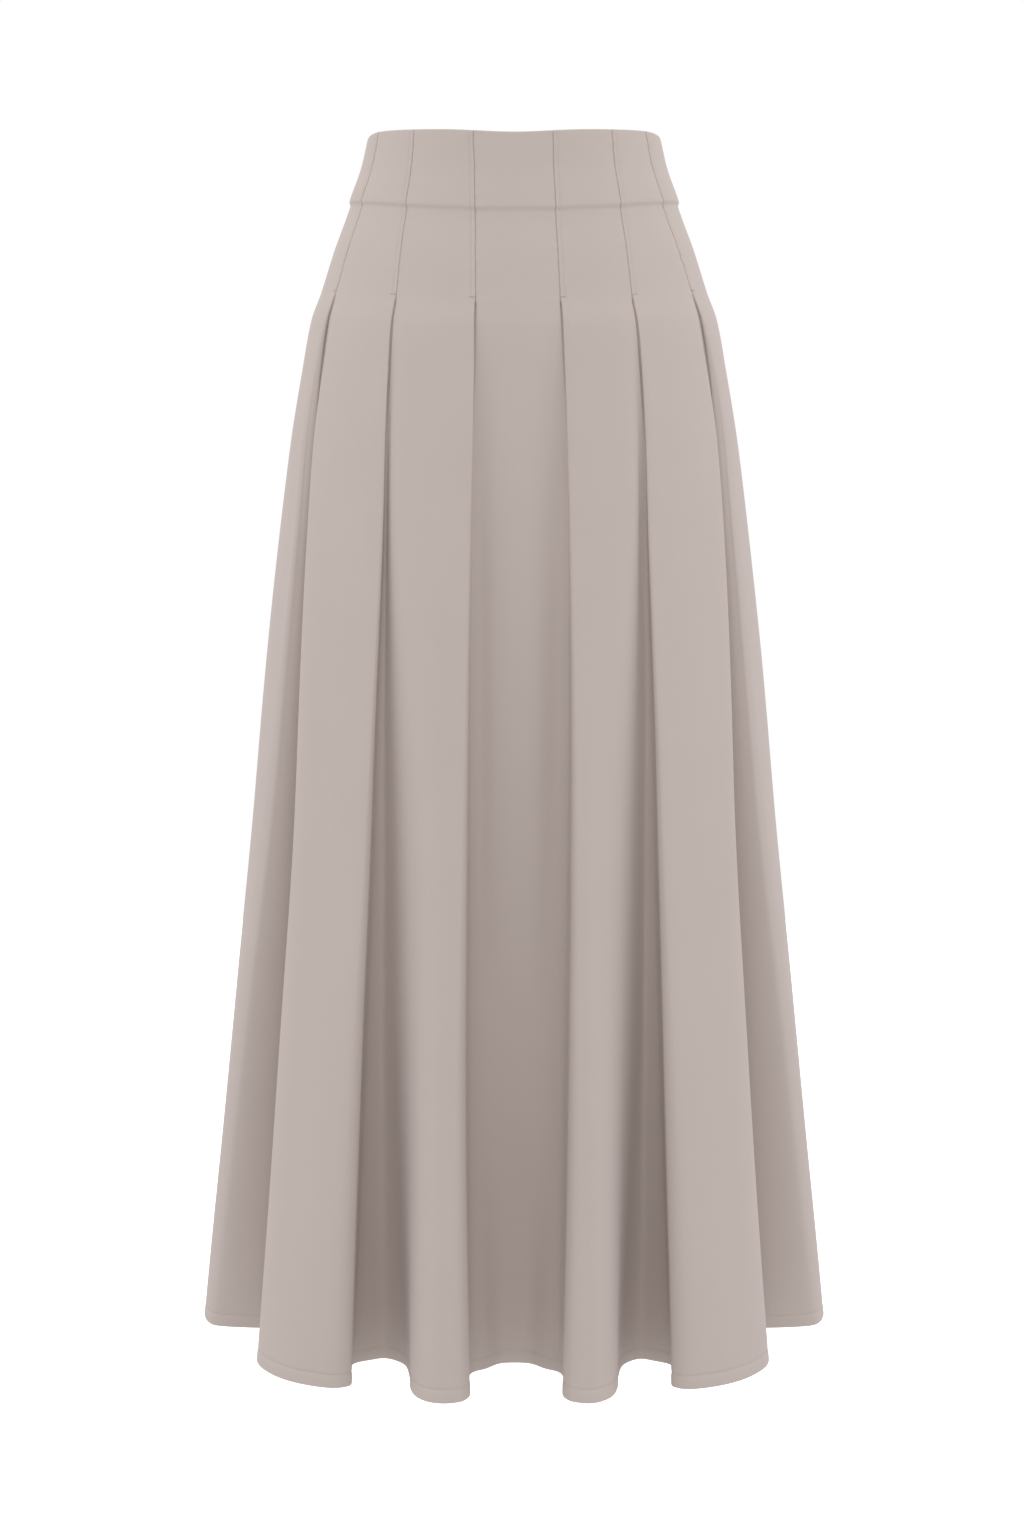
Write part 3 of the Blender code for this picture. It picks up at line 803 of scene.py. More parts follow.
@dataclass
class DrapedForm:
    """The outer face of the whole skirt, worked out as one smooth grid and then shaped."""

    plan: PleatPlan = field(default_factory=PleatPlan)
    seams: SeamWork = field(default_factory=SeamWork)
    edges: EdgeWork = field(default_factory=EdgeWork)
    finest: float = 0.0042         # spacing of columns at the hem
    fewest: int = 3                # samples between two stations
    most: int = 9
    band_clear: float = 0.3        # share of a spacing that a band's last row stays clear by
    crease_fade: float = 0.22      # share of its length over which a crease sets in
    bands: tuple[RowBand, ...] = (
        RowBand(0.0010, 0.0024), RowBand(0.0500, 0.0008), RowBand(0.0620, 0.0026),
        RowBand(0.1240, 0.0014), RowBand(0.1500, 0.0040), RowBand(0.2100, 0.0080),
        RowBand(0.9500, 0.0035), RowBand(0.9740, 0.0008), RowBand(0.9888, 0.0008),
    )
    creases: tuple[Crease, ...] = (
        Crease(0.0008, 0.0028, (0.150, 0.206, 0.306, 0.386, 0.520),
               (-74.5, -73.0, -69.6, -69.2, -69.5)),
        Crease(0.0008, 0.0028, (0.150, 0.206, 0.306, 0.386, 0.520),
               (74.6, 73.6, 73.4, 72.4, 71.5)),
        Crease(0.0006, 0.0028, (0.150, 0.230, 0.330, 0.480), (-110.0, -111.0, -112.5, -112.0)),
        Crease(0.0006, 0.0028, (0.150, 0.230, 0.330, 0.480), (108.5, 109.5, 110.0, 111.0)),
        Crease(0.0006, 0.0036, (0.134, 0.189, 0.239, 0.360), (41.6, 42.4, 41.9, 43.4)),
        Crease(0.0004, 0.0050, (0.150, 0.250, 0.370, 0.560), (-43.0, -43.2, -41.8, -41.4)),
        Crease(-0.0007, 0.0140, (0.200, 0.420, 0.640, 0.860), (-53.0, -51.5, -49.0, -46.0)),
        Crease(-0.0006, 0.0150, (0.240, 0.460, 0.680, 0.900), (56.0, 54.0, 50.5, 48.0)),
        Crease(0.0005, 0.0100, (0.260, 0.480, 0.700, 0.930), (-21.0, -20.0, -17.0, -14.5)),
        Crease(-0.0005, 0.0100, (0.220, 0.450, 0.680, 0.880), (24.5, 23.5, 21.0, 18.5)),
        Crease(-0.0007, 0.0120, (0.180, 0.400, 0.620, 0.820), (-4.6, -4.0, -3.2, -2.6)),
        Crease(0.0006, 0.0130, (0.300, 0.500, 0.720, 0.940), (5.4, 4.8, 4.4, 3.6)),
        Crease(0.0007, 0.0160, (0.300, 0.520, 0.740, 0.950), (88.0, 90.5, 89.0, 87.5)),
        Crease(0.0006, 0.0150, (0.260, 0.500, 0.720, 0.930), (-86.0, -88.5, -90.0, -91.0)),
        Crease(-0.0007, 0.0140, (0.220, 0.440, 0.660, 0.880), (126.0, 128.0, 130.5, 133.0)),
        Crease(-0.0006, 0.0150, (0.260, 0.460, 0.700, 0.900), (-125.0, -127.0, -131.0, -134.0)),
        Crease(0.0005, 0.0100, (0.240, 0.480, 0.700, 0.920), (158.5, 160.0, 163.0, 165.0)),
        Crease(-0.0005, 0.0100, (0.280, 0.480, 0.720, 0.900), (-157.0, -158.5, -162.0, -164.0)),
        Crease(0.0006, 0.0130, (0.240, 0.460, 0.680, 0.900), (174.5, 175.0, 176.2, 176.8)),
    )
    drops: np.ndarray = field(init=False)
    cloths: list[GoreCloth] = field(init=False)

    def __post_init__(self) -> None:
        """Work out the rows, the grid and every gore."""
        parts = [np.arange(a.start, b.start - self.band_clear * a.spacing, a.spacing)
                 for a, b in zip(self.bands, self.bands[1:])]
        self.drops = np.concatenate(parts + [np.array([self.bands[-1].start])])
        runs = [self.plan.runs(drop) for drop in self.drops]
        stations = np.array([[p for run in row for p in run[:-1]] for row in runs])
        counts = [len(run) - 1 for run in runs[0]]
        steps = self.span_steps(stations[-1])
        grid = self.smooth_ring(stations, steps)
        outward = self.ring_outward(grid)
        grid = grid + outward * self.drape(grid)[..., None]
        outward = self.ring_outward(grid)
        starts = np.concatenate([[0], np.cumsum(steps)])
        ends = np.cumsum([0] + counts)
        self.cloths = []
        for cut, first, last in zip(self.plan.gores, ends, ends[1:]):
            columns = np.arange(starts[first], starts[last] + 1) % grid.shape[1]
            self.cloths.append(self.sew(cut, grid[:, columns], outward[:, columns]))

    def span_steps(self, ring: np.ndarray) -> np.ndarray:
        """How many samples each span between two stations of a ring gets."""
        spans = np.linalg.norm(np.roll(ring, -1, axis=0) - ring, axis=1)
        return np.clip(np.ceil(spans / self.finest), self.fewest, self.most).astype(int)

    @staticmethod
    def smooth_ring(stations: np.ndarray, steps: np.ndarray) -> np.ndarray:
        """Sample a smooth closed curve through each row of stations.

        Args:
            stations: Rows of points round the skirt.
            steps: Samples in the span that starts at each station.

        Returns:
            Rows of sampled points, the stations among them.
        """
        after = np.roll(stations, -1, axis=1)
        spans = np.linalg.norm(after - stations, axis=2)
        knot = np.sqrt(np.maximum(spans, LEAST_SPAN))[..., None]
        speed = (after - stations) / knot
        knot_before, speed_before = np.roll(knot, 1, axis=1), np.roll(speed, 1, axis=1)
        chord = (after - np.roll(stations, 1, axis=1)) / (knot + knot_before)
        slope = speed_before - chord + speed
        samples = []
        for k, count in enumerate(steps):
            nxt = (k + 1) % stations.shape[1]
            u = (np.arange(count) / count)[None, :, None]
            here, there = (slope[:, j, None] * knot[:, k, None] for j in (k, nxt))
            samples.append(cubic(stations[:, k, None], here, stations[:, nxt, None], there, u))
        return np.concatenate(samples, axis=1)

    @staticmethod
    def ring_outward(grid: np.ndarray) -> np.ndarray:
        """Level unit vectors out of the cloth at every point of the ring."""
        along = unit((np.roll(grid, -1, axis=1) - np.roll(grid, 1, axis=1))[..., :2])
        return np.stack([along[..., 1], -along[..., 0], np.zeros(along.shape[:2])], axis=-1)

    def drape(self, grid: np.ndarray) -> np.ndarray:
        """Height of the creases.

        Args:
            grid: Points of the whole ring, in rows.

        Returns:
            The height at each of them.
        """
        bearing = np.degrees(np.arctan2(grid[..., 0], -grid[..., 1]))
        radius = np.hypot(grid[..., 0], grid[..., 1])
        height = np.zeros(bearing.shape)
        for crease in self.creases:
            first, last = crease.drops[0], crease.drops[-1]
            fade = self.crease_fade * (last - first)
            strength = (ramp(self.drops, first, first + fade)
                        * ramp(self.drops, last, last - 2.0 * fade))
            centre = np.array([curve_through(crease.drops, crease.bearings, drop)
                               for drop in self.drops])
            off = (bearing - centre[:, None] + 180.0) % 360.0 - 180.0
            distance = np.radians(off) * radius
            height += crease.rise * strength[:, None] * bell(distance, crease.spread)
        return height

    def seam_end(self) -> float:
        """How far below the waist the stitching stops."""
        return self.plan.envelope.release - self.seams.stitched_end

    def nearest_row(self, drop: float) -> int:
        """Number of the row nearest to a drop."""
        return int(np.abs(self.drops - drop).argmin())

    def sew(self, cut: GoreCut, face: np.ndarray, outward: np.ndarray) -> GoreCloth:
        """Shape one gore beside its seams, at its facing and at its hem.

        Args:
            cut: The gore.
            face: Its part of the grid.
            outward: Unit vectors out of the cloth there.

        Returns:
            The gore's finished face.
        """
        seams, drops = self.seams, self.drops
        across = running_length(face)
        back = across[:, -1:] - across
        opened = np.array([self.plan.opened(drop) for drop in drops])[:, None]
        lip = np.exp(-opened / seams.relax)
        end = self.seam_end()
        sewn = ramp(drops, end + seams.stitched_fade, end)[:, None]
        height = self.edges.relief(drops, np.minimum(across, back), self.plan.envelope)
        for edge, away in ((cut.first, across), (cut.last, back)):
            height = (height + seams.profile(edge, away, sewn, lip)
                      + seams.puckers(drops, away, cut.name) * sewn)
            if edge is not SeamEdge.PLAIN:
                height = height - seams.slits(opened, away)
        face = face + outward * height[..., None]
        return GoreCloth(cut, face, outward, running_length(face))


# --------------------------------------------------------------------------------- the finishes
def feed(tree: Tree, node: bpy.types.Node, feeds: Feeds) -> None:
    """Give a node its inputs.

    Args:
        tree: The tree that it is in.
        node: The node.
        feeds: By each input's name or number, its value or the socket that feeds it.
    """
    for place, value in feeds.items():
        if isinstance(value, Socket):
            tree.links.new(value, node.inputs[place])
        else:
            node.inputs[place].default_value = value


def new_node(tree: Tree, kind: str, feeds: Optional[Feeds] = None,
             **settings: object) -> bpy.types.Node:
    """Add a node.

    Args:
        tree: The tree that it joins.
        kind: Its type.
        feeds: Its inputs, as for feed.
        settings: Its properties.

    Returns:
        The new node.
    """
    node = tree.nodes.new(kind)
    for name, value in settings.items():
        setattr(node, name, value)
    feed(tree, node, feeds or {})
    return node


def worked_out(tree: Tree, operation: str, *terms: Union[float, Socket]) -> Socket:
    """Add a math node and give its result."""
    return new_node(tree, "ShaderNodeMath", dict(enumerate(terms)),
                    operation=operation).outputs[0]


def new_material(name: str) -> tuple[bpy.types.Material, Tree, bpy.types.Node]:
    """Make a material.

    Args:
        name: Its name.

    Returns:
        The material, its node tree and its shader.
    """
    mat = bpy.data.materials.new(name)
    mat.use_nodes = True
    return mat, mat.node_tree, mat.node_tree.nodes["Principled BSDF"]


@dataclass(frozen=True)
class SurfaceGroups:
    """Node groups that more than one finish uses."""

    threads: float = 2000.0        # to the metre, where a finish gives none
    pebble: float = 0.5
    wobble_scale: float = 900.0
    wobble: float = 0.0005         # how far a yarn strays, in metres
    crepe_scale: float = 1500.0
    # Heights of the weave between which its gaps get painted shade, darker the lower they lie.
    gaps: tuple[float, float] = (0.25, 0.70)   # heights between which a gap is shaded
    patch_scale: float = 12.0
    fleck_scale: float = 420.0
    flecks: float = 0.35           # share of the fine unevenness

    @staticmethod
    def group(name: str, takes: dict[str, float],
              gives: Sequence[str]) -> tuple[Tree, bpy.types.Node, bpy.types.Node]:
        """Start a node group that takes a vector.

        Args:
            name: Its name.
            takes: The numbers that it takes as well, with their usual values.
            gives: Names of the numbers that it puts out.

        Returns:
            The group, the node of its inputs and the node of its outputs.
        """
        tree = bpy.data.node_groups.new(name, "ShaderNodeTree")
        tree.interface.new_socket(name="Vector", in_out="INPUT", socket_type="NodeSocketVector")
        for title, value in takes.items():
            made = tree.interface.new_socket(name=title, in_out="INPUT",
                                             socket_type="NodeSocketFloat")
            made.default_value = value
        for title in gives:
            tree.interface.new_socket(name=title, in_out="OUTPUT", socket_type="NodeSocketFloat")
        return tree, tree.nodes.new("NodeGroupInput"), tree.nodes.new("NodeGroupOutput")

    def weave(self) -> Tree:
        """Threads of a plain weave with twisted, uneven yarns.

        Returns:
            A group that puts out the threads' height and a painted shade for their gaps, darker
            where the weave lies lower.
        """
        tree, entry, leave = self.group(
            "pebbled_weave", {"Threads": self.threads, "Pebble": self.pebble},
            ("Height", "Shade"))
        place = entry.outputs["Vector"]
        wobble = new_node(tree, "ShaderNodeTexNoise",
                          {"Vector": place, "Scale": self.wobble_scale, "Detail": 1.0})
        shift = new_node(tree, "ShaderNodeVectorMath",
                         {0: wobble.outputs["Color"], 1: (self.wobble, self.wobble, 0.0),
                          2: place}, operation="MULTIPLY_ADD")
        parts = new_node(tree, "ShaderNodeSeparateXYZ", {0: shift.outputs[0]})
        waves = []
        for axis in ("X", "Y"):
            turns = worked_out(tree, "MULTIPLY", parts.outputs[axis], entry.outputs["Threads"])
            waves.append(worked_out(tree, "SINE", worked_out(tree, "MULTIPLY", turns, math.pi)))
        plain = worked_out(tree, "MULTIPLY_ADD", worked_out(tree, "MULTIPLY", *waves), 0.5, 0.5)
        crepe = new_node(tree, "ShaderNodeTexNoise",
                         {"Vector": place, "Scale": self.crepe_scale, "Detail": 2.0})
        height = new_node(tree, "ShaderNodeMix",
                          {"Factor": entry.outputs["Pebble"], 2: plain,
                           3: crepe.outputs["Fac"]}, data_type="FLOAT").outputs[0]
        # Painted shade: the lower parts of the weave, its gaps, get a darker tone.
        shade = new_node(tree, "ShaderNodeMapRange",
                         {"Value": height, "From Min": self.gaps[0], "From Max": self.gaps[1]})
        feed(tree, leave, {"Height": height, "Shade": shade.outputs["Result"]})
        return tree

    def mottle(self) -> Tree:
        """Faint unevenness of dye and pressing.

        Returns:
            A group that puts out a tone round 0.5, coarse and fine together.
        """
        tree, entry, leave = self.group("uneven_dye", {"Scale": self.patch_scale}, ("Tone",))
        place = entry.outputs["Vector"]
        broad = new_node(tree, "ShaderNodeTexNoise",
                         {"Vector": place, "Scale": entry.outputs["Scale"], "Detail": 3.0,
                          "Roughness": 0.55})
        fine = new_node(tree, "ShaderNodeTexNoise",
                        {"Vector": place, "Scale": self.fleck_scale, "Detail": 2.0})
        mix = new_node(tree, "ShaderNodeMix",
                       {"Factor": self.flecks, 2: broad.outputs["Fac"],
                        3: fine.outputs["Fac"]}, data_type="FLOAT")
        feed(tree, leave, {"Tone": mix.outputs[0]})
        return tree


@dataclass(frozen=True)
class ClothFinish:
    """A woven finish: crepe, tape or thread.

    Attributes:
        name: Name of the material.
        colour: Its colour.
        roughness: Its roughness.
        sheen: Strength and roughness of its sheen.
        threads: Threads to the metre.
        pebble: Share of the crepe's pebbling over the plain weave.
        relief: Height of the weave in metres.
        shade: How much darker painted shade makes the gaps of the weave.
        mottle: How much the dye varies.
    """

    name: str
    colour: Colour
    roughness: float
    sheen: tuple[float, float]
    threads: float
    pebble: float
    relief: float
    shade: float
    mottle: float
    specular: float = 0.25
    patches: float = 12.0

    def build(self, groups: dict[str, Tree]) -> bpy.types.Material:
        """Make the material, on the cloth's own UV map in metres.

        Args:
            groups: The shared node groups.

        Returns:
            The material.
        """
        mat, tree, shader = new_material(self.name)
        place = new_node(tree, "ShaderNodeUVMap", uv_map="cloth").outputs["UV"]
        weave = new_node(tree, "ShaderNodeGroup", node_tree=groups["weave"])
        feed(tree, weave, {"Vector": place, "Threads": self.threads, "Pebble": self.pebble})
        dye = new_node(tree, "ShaderNodeGroup", node_tree=groups["mottle"])
        feed(tree, dye, {"Vector": place, "Scale": self.patches})
        # Painted shade: the colour is darkened in the weave's gaps, where the threads lie lower.
        shaded_gap_colour = tuple(c * (1.0 - self.shade) for c in self.colour[:3]) + (1.0,)
        gaps = new_node(tree, "ShaderNodeMix",
                        {"Factor": weave.outputs["Shade"], 6: shaded_gap_colour, 7: self.colour},
                        data_type="RGBA")
        tone = new_node(tree, "ShaderNodeMapRange",
                        {"Value": dye.outputs["Tone"], "From Min": 0.25, "From Max": 0.75,
                         "To Min": 1.0 - self.mottle, "To Max": 1.0 + self.mottle})
        dyed = new_node(tree, "ShaderNodeVectorMath",
                        {0: gaps.outputs[2], "Scale": tone.outputs["Result"]},
                        operation="SCALE")
        bump = new_node(tree, "ShaderNodeBump",
                        {"Strength": 1.0, "Distance": self.relief,
                         "Height": weave.outputs["Height"]})
        feed(tree, shader, {
            "Base Color": dyed.outputs[0], "Normal": bump.outputs["Normal"],
            "Roughness": self.roughness, "Sheen Weight": self.sheen[0],
            "Sheen Roughness": self.sheen[1], "Specular IOR Level": self.specular})
        return mat


# Each finish's shade is the painted shade in the gaps of its weave.
CREPE = ClothFinish("crepe", (0.520, 0.447, 0.418, 1.0), 0.90, (0.10, 0.45), threads=2400.0,
                    pebble=0.62, relief=0.00006, shade=0.10, mottle=0.018)
TAPE = ClothFinish("zip_tape_weave", (0.465, 0.400, 0.372, 1.0), 0.80, (0.05, 0.40),
                   threads=1400.0, pebble=0.10, relief=0.00012, shade=0.22, mottle=0.02)
THREAD = ClothFinish("sewing_thread", (0.500, 0.430, 0.400, 1.0), 0.62, (0.05, 0.35),
                     threads=3600.0, pebble=0.05, relief=0.00005, shade=0.16, mottle=0.02)


@dataclass(frozen=True)
class EnamelFinish:
    """Satin enamel on the zip's slider and pull, a little worn along its edges."""

    colour: Colour = (0.440, 0.375, 0.350, 1.0)
    worn: Colour = (0.560, 0.520, 0.490, 1.0)
    worn_edge: tuple[float, float] = (0.53, 0.60)   # sharpness between which wear sets in
    roughness: tuple[float, float] = (0.30, 0.44)
    coat: tuple[float, float] = (0.35, 0.22)        # weight and roughness
    flecks: float = 300.0
    relief: float = 0.00002

    def build(self, groups: dict[str, Tree]) -> bpy.types.Material:
        """Make the material, on Object coordinates.

        Args:
            groups: The shared node groups.

        Returns:
            The material.
        """
        mat, tree, shader = new_material("zip_enamel")
        place = new_node(tree, "ShaderNodeTexCoord").outputs["Object"]
        dye = new_node(tree, "ShaderNodeGroup", node_tree=groups["mottle"])
        feed(tree, dye, {"Vector": place, "Scale": self.flecks})
        tone = dye.outputs["Tone"]
        wear = new_node(tree, "ShaderNodeNewGeometry")
        edge = new_node(tree, "ShaderNodeMapRange",
                        {"Value": wear.outputs["Pointiness"], "From Min": self.worn_edge[0],
                         "From Max": self.worn_edge[1]})
        rubbed = worked_out(tree, "MULTIPLY", edge.outputs["Result"], tone)
        colour = new_node(tree, "ShaderNodeMix", {"Factor": rubbed, 6: self.colour, 7: self.worn},
                          data_type="RGBA")
        rough = new_node(tree, "ShaderNodeMapRange",
                         {"Value": tone, "To Min": self.roughness[0],
                          "To Max": self.roughness[1]})
        bump = new_node(tree, "ShaderNodeBump",
                        {"Strength": 1.0, "Distance": self.relief, "Height": tone})
        feed(tree, shader, {
            "Base Color": colour.outputs[2], "Roughness": rough.outputs["Result"],
            "Metallic": 0.0, "Coat Weight": self.coat[0], "Coat Roughness": self.coat[1],
            "Normal": bump.outputs["Normal"]})
        return mat


# ------------------------------------------------------------------------------ the cloth pieces
@dataclass
class GoreShell:
    """A gore as a thin closed shell of cloth with rounded waist and hem edges.

    Attributes:
        cloth: The gore's outer face.
        walls: Thickness of the cloth at each row.
        rim_steps: Points in each half round.
    """

    cloth: GoreCloth
    walls: np.ndarray
    rim_steps: int

    def rim(self, row: int, within: int, way: float) -> np.ndarray:
        """Points of the half round between the two faces at the waist or the hem.

        Args:
            row: First or last row.
            within: The row next to it.
            way: -1 to go from the inner to the outer face, 1 to go back.

        Returns:
            The points, in that order.
        """
        outward = self.cloth.outward[row]
        beyond = unit(self.cloth.face[row] - self.cloth.face[within])
        half = self.walls[row] / 2.0
        middle = self.cloth.face[row] - outward * half
        turns = [math.pi * k / (self.rim_steps + 1) for k in range(1, self.rim_steps + 1)]
        return np.array([middle + outward * half * way * math.cos(turn)
                         + beyond * half * math.sin(turn) for turn in turns])

    def build(self) -> bpy.types.Object:
        """Make the closed shell, with its UV map in metres.

        Returns:
            The new object, named for the gore.
        """
        face, steps = self.cloth.face, self.rim_steps
        rows, cols = face.shape[:2]
        inner = face - self.cloth.outward * self.walls[:, None, None]
        profile = np.concatenate([face, self.rim(-1, -2, 1.0), inner[::-1],
                                  self.rim(0, 1, -1.0)])
        count = len(profile)
        index = np.arange(count * cols).reshape(count, cols)
        nxt = np.roll(index, -1, axis=0)
        quads = np.stack([index[:, :-1], nxt[:, :-1], nxt[:, 1:], index[:, 1:]], axis=-1)
        faces = [tuple(q) for q in quads.reshape(-1, 4).tolist()]
        inner_row = [rows + steps + rows - 1 - r for r in range(rows)]
        caps = [(r, inner_row[r], inner_row[r + 1], r + 1) for r in range(rows - 1)]
        caps.append((inner_row[0], 0, *range(count - 1, count - steps - 1, -1)))
        caps.append((rows - 1, inner_row[-1], *range(rows + steps - 1, rows - 1, -1)))
        for col, turn in ((0, 1), (cols - 1, -1)):
            faces += [tuple(int(index[p, col]) for p in cap)[::turn] for cap in caps]
        obj = mesh_object(self.cloth.cut.name + "_cloth", profile.reshape(-1, 3), faces)
        lay_flat(obj, self.flat_places(profile))
        smooth(obj.data)
        return obj

    @staticmethod
    def flat_places(profile: np.ndarray) -> np.ndarray:
        """Lay the cloth out flat: across from its middle column, and down from the waist.

        Args:
            profile: Points of the shell, in rows.

        Returns:
            Place of each point on the flat cloth.
        """
        middle = profile.shape[1] // 2
        across = running_length(profile)
        across = across - across[:, middle:middle + 1]
        down = running_length(profile[:, middle])
        flat = np.stack([across, np.broadcast_to(-down[:, None], across.shape)], axis=-1)
        return flat.reshape(-1, 2)


@dataclass
class SkirtCloth:
    """All the gores of the skirt."""

    form: DrapedForm

    def build(self, mat: bpy.types.Material) -> list[bpy.types.Object]:
        """Make and dress every gore.

        Args:
            mat: The crepe.

        Returns:
            The new pieces.
        """
        walls = self.form.edges.wall(self.form.drops, self.form.plan.envelope)
        made = []
        for cloth in self.form.cloths:
            shell = GoreShell(cloth, walls, self.form.edges.rim_steps)
            obj = shell.build()
            dress(obj, mat, "skirt")
            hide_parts(cloth.cut.name)
            made.append(obj)
        return made


# ---------------------------------------------------------------------------------- the stitches
class StitchRun(NamedTuple):
    """Stitches in a row: their middles, directions along the row and outward vectors."""

    middles: np.ndarray
    along: np.ndarray
    outward: np.ndarray


@dataclass
class Stitching:
    """Edge stitching beside the lapped seams, the hem's stitch line and the bar tacks."""

    form: DrapedForm
    stitch: float = 0.0021         # length of thread that shows
    pitch: float = 0.0027
    hem_pitch: float = 0.0031
    radius: float = 0.00017
    lift: float = 0.00002
    tack_width: float = 0.0064
    tack_height: float = 0.0013
    tack_threads: int = 13
    tack_overlap: float = 0.62     # half a thread's length as a share of the tack's pitch
    tack_start: float = -0.0012    # from the seam
    least_away: float = 0.0002
    sides: int = 6
    rings: int = 5
    flat_step: float = 0.004       # between stitches on the flat cloth

    def thread(self, length: float, radius: float) -> tuple[np.ndarray, Faces]:
        """Model one stitch along X, and take its shape.

        Args:
            length: Its length.
            radius: Half its thickness.

        Returns:
            Its points and its faces.
        """
        deselect_all()
        bpy.ops.mesh.primitive_uv_sphere_add(segments=self.sides, ring_count=self.rings,
                                             radius=radius)
        model = bpy.context.active_object
        edit_all()
        bpy.ops.transform.rotate(value=math.pi / 2.0, orient_axis="Y",
                                 center_override=(0.0, 0.0, 0.0))
        bpy.ops.transform.resize(value=(length / 2.0 / radius, 1.0, 1.0),
                                 center_override=(0.0, 0.0, 0.0))
        bpy.ops.object.mode_set(mode="OBJECT")
        return take_shape(model)

    @staticmethod
    def spread(line: np.ndarray, normals: np.ndarray, pitch: float) -> StitchRun:
        """Space stitches evenly along a line.

        Args:
            line: Points of the line.
            normals: Outward vectors there.
            pitch: From one stitch to the next.

        Returns:
            The stitches' places.
        """
        length = running_length(line)
        places = np.arange(pitch / 2.0, length[-1] - pitch / 2.0, pitch)

        def read(values: np.ndarray, at: np.ndarray) -> np.ndarray:
            """Values at some lengths along the line."""
            return np.stack([np.interp(at, length, values[:, k]) for k in range(3)], axis=-1)

        along = unit(read(line, places + pitch / 3.0) - read(line, places - pitch / 3.0))
        return StitchRun(read(line, places), along, unit(read(normals, places)))

    def lay(self, name: str, shape: tuple[np.ndarray, Faces],
            runs: list[StitchRun]) -> bpy.types.Object:
        """Copy one stitch along many lines into one joined mesh, with a UV map in metres.

        Args:
            name: Name of the piece.
            shape: Points and faces of the stitch.
            runs: Where the stitches lie.

        Returns:
            The new piece.
        """
        points, faces = shape
        placed, joined, flats = [], [], []
        turn = np.arctan2(points[:, 2], points[:, 1]) * self.radius
        for middles, alongs, outwards in runs:
            sides = unit(np.cross(outwards, alongs))
            for c, a, s, u in zip(middles, alongs, sides, np.cross(alongs, sides)):
                start = len(placed) * len(points)
                placed.append(c + np.outer(points[:, 0], a) + np.outer(points[:, 1], s)
                              + np.outer(points[:, 2], u) + u * self.lift)
                joined += [tuple(v + start for v in f) for f in faces]
                flats.append(np.stack([points[:, 0] + self.flat_step * len(placed), turn],
                                      axis=-1))
        obj = mesh_object(name, np.concatenate(placed), joined)
        lay_flat(obj, np.concatenate(flats))
        obj.data.shade_smooth()
        return obj

    def tack(self, cloth: GoreCloth, first: bool) -> StitchRun:
        """Places of a bar tack's threads, side by side across the end of a seam.

        Args:
            cloth: The gore on top.
            first: Whether the seam is at its first edge.

        Returns:
            The threads' places.
        """
        row = self.form.nearest_row(self.form.seam_end())
        middles, downs, outs = [], [], []
        for share in np.linspace(0.0, 1.0, self.tack_threads):
            away = max(self.tack_start + self.tack_width * share, self.least_away)
            line, out = cloth.beside(first, away)
            middles.append(line[row])
            downs.append(line[row + 1] - line[row - 1])
            outs.append(out[row])
        return StitchRun(np.array(middles), unit(np.array(downs)), np.array(outs))

    def build(self, mat: bpy.types.Material) -> list[bpy.types.Object]:
        """Make the three kinds of stitch.

        Args:
            mat: The thread.

        Returns:
            The new pieces.
        """
        form = self.form
        shape = self.thread(self.stitch, self.radius)
        sewn = form.drops < form.seam_end()
        edge_runs, tack_runs = [], []
        for cloth in form.cloths:
            for edge, first in ((cloth.cut.first, True), (cloth.cut.last, False)):
                if edge is SeamEdge.LAPPED:
                    line, out = cloth.beside(first, form.seams.groove_at)
                    edge_runs.append(self.spread(line[sewn], out[sewn], self.pitch))
                    tack_runs.append(self.tack(cloth, first))
        level = form.nearest_row(form.plan.envelope.length - form.edges.hem_turn)
        hem_runs = [self.spread(cloth.face[level], cloth.outward[level], self.hem_pitch)
                    for cloth in form.cloths]
        tack_shape = self.thread(self.tack_height,
                                 self.tack_width / self.tack_threads * self.tack_overlap)
        made = [self.lay("edge_stitches", shape, edge_runs),
                self.lay("hem_stitches", shape, hem_runs),
                self.lay("bar_tacks", tack_shape, tack_runs)]
        for obj in made:
            dress(obj, mat, "skirt")
            LOG.info("%s: %d faces", obj.name, len(obj.data.polygons))
        return made


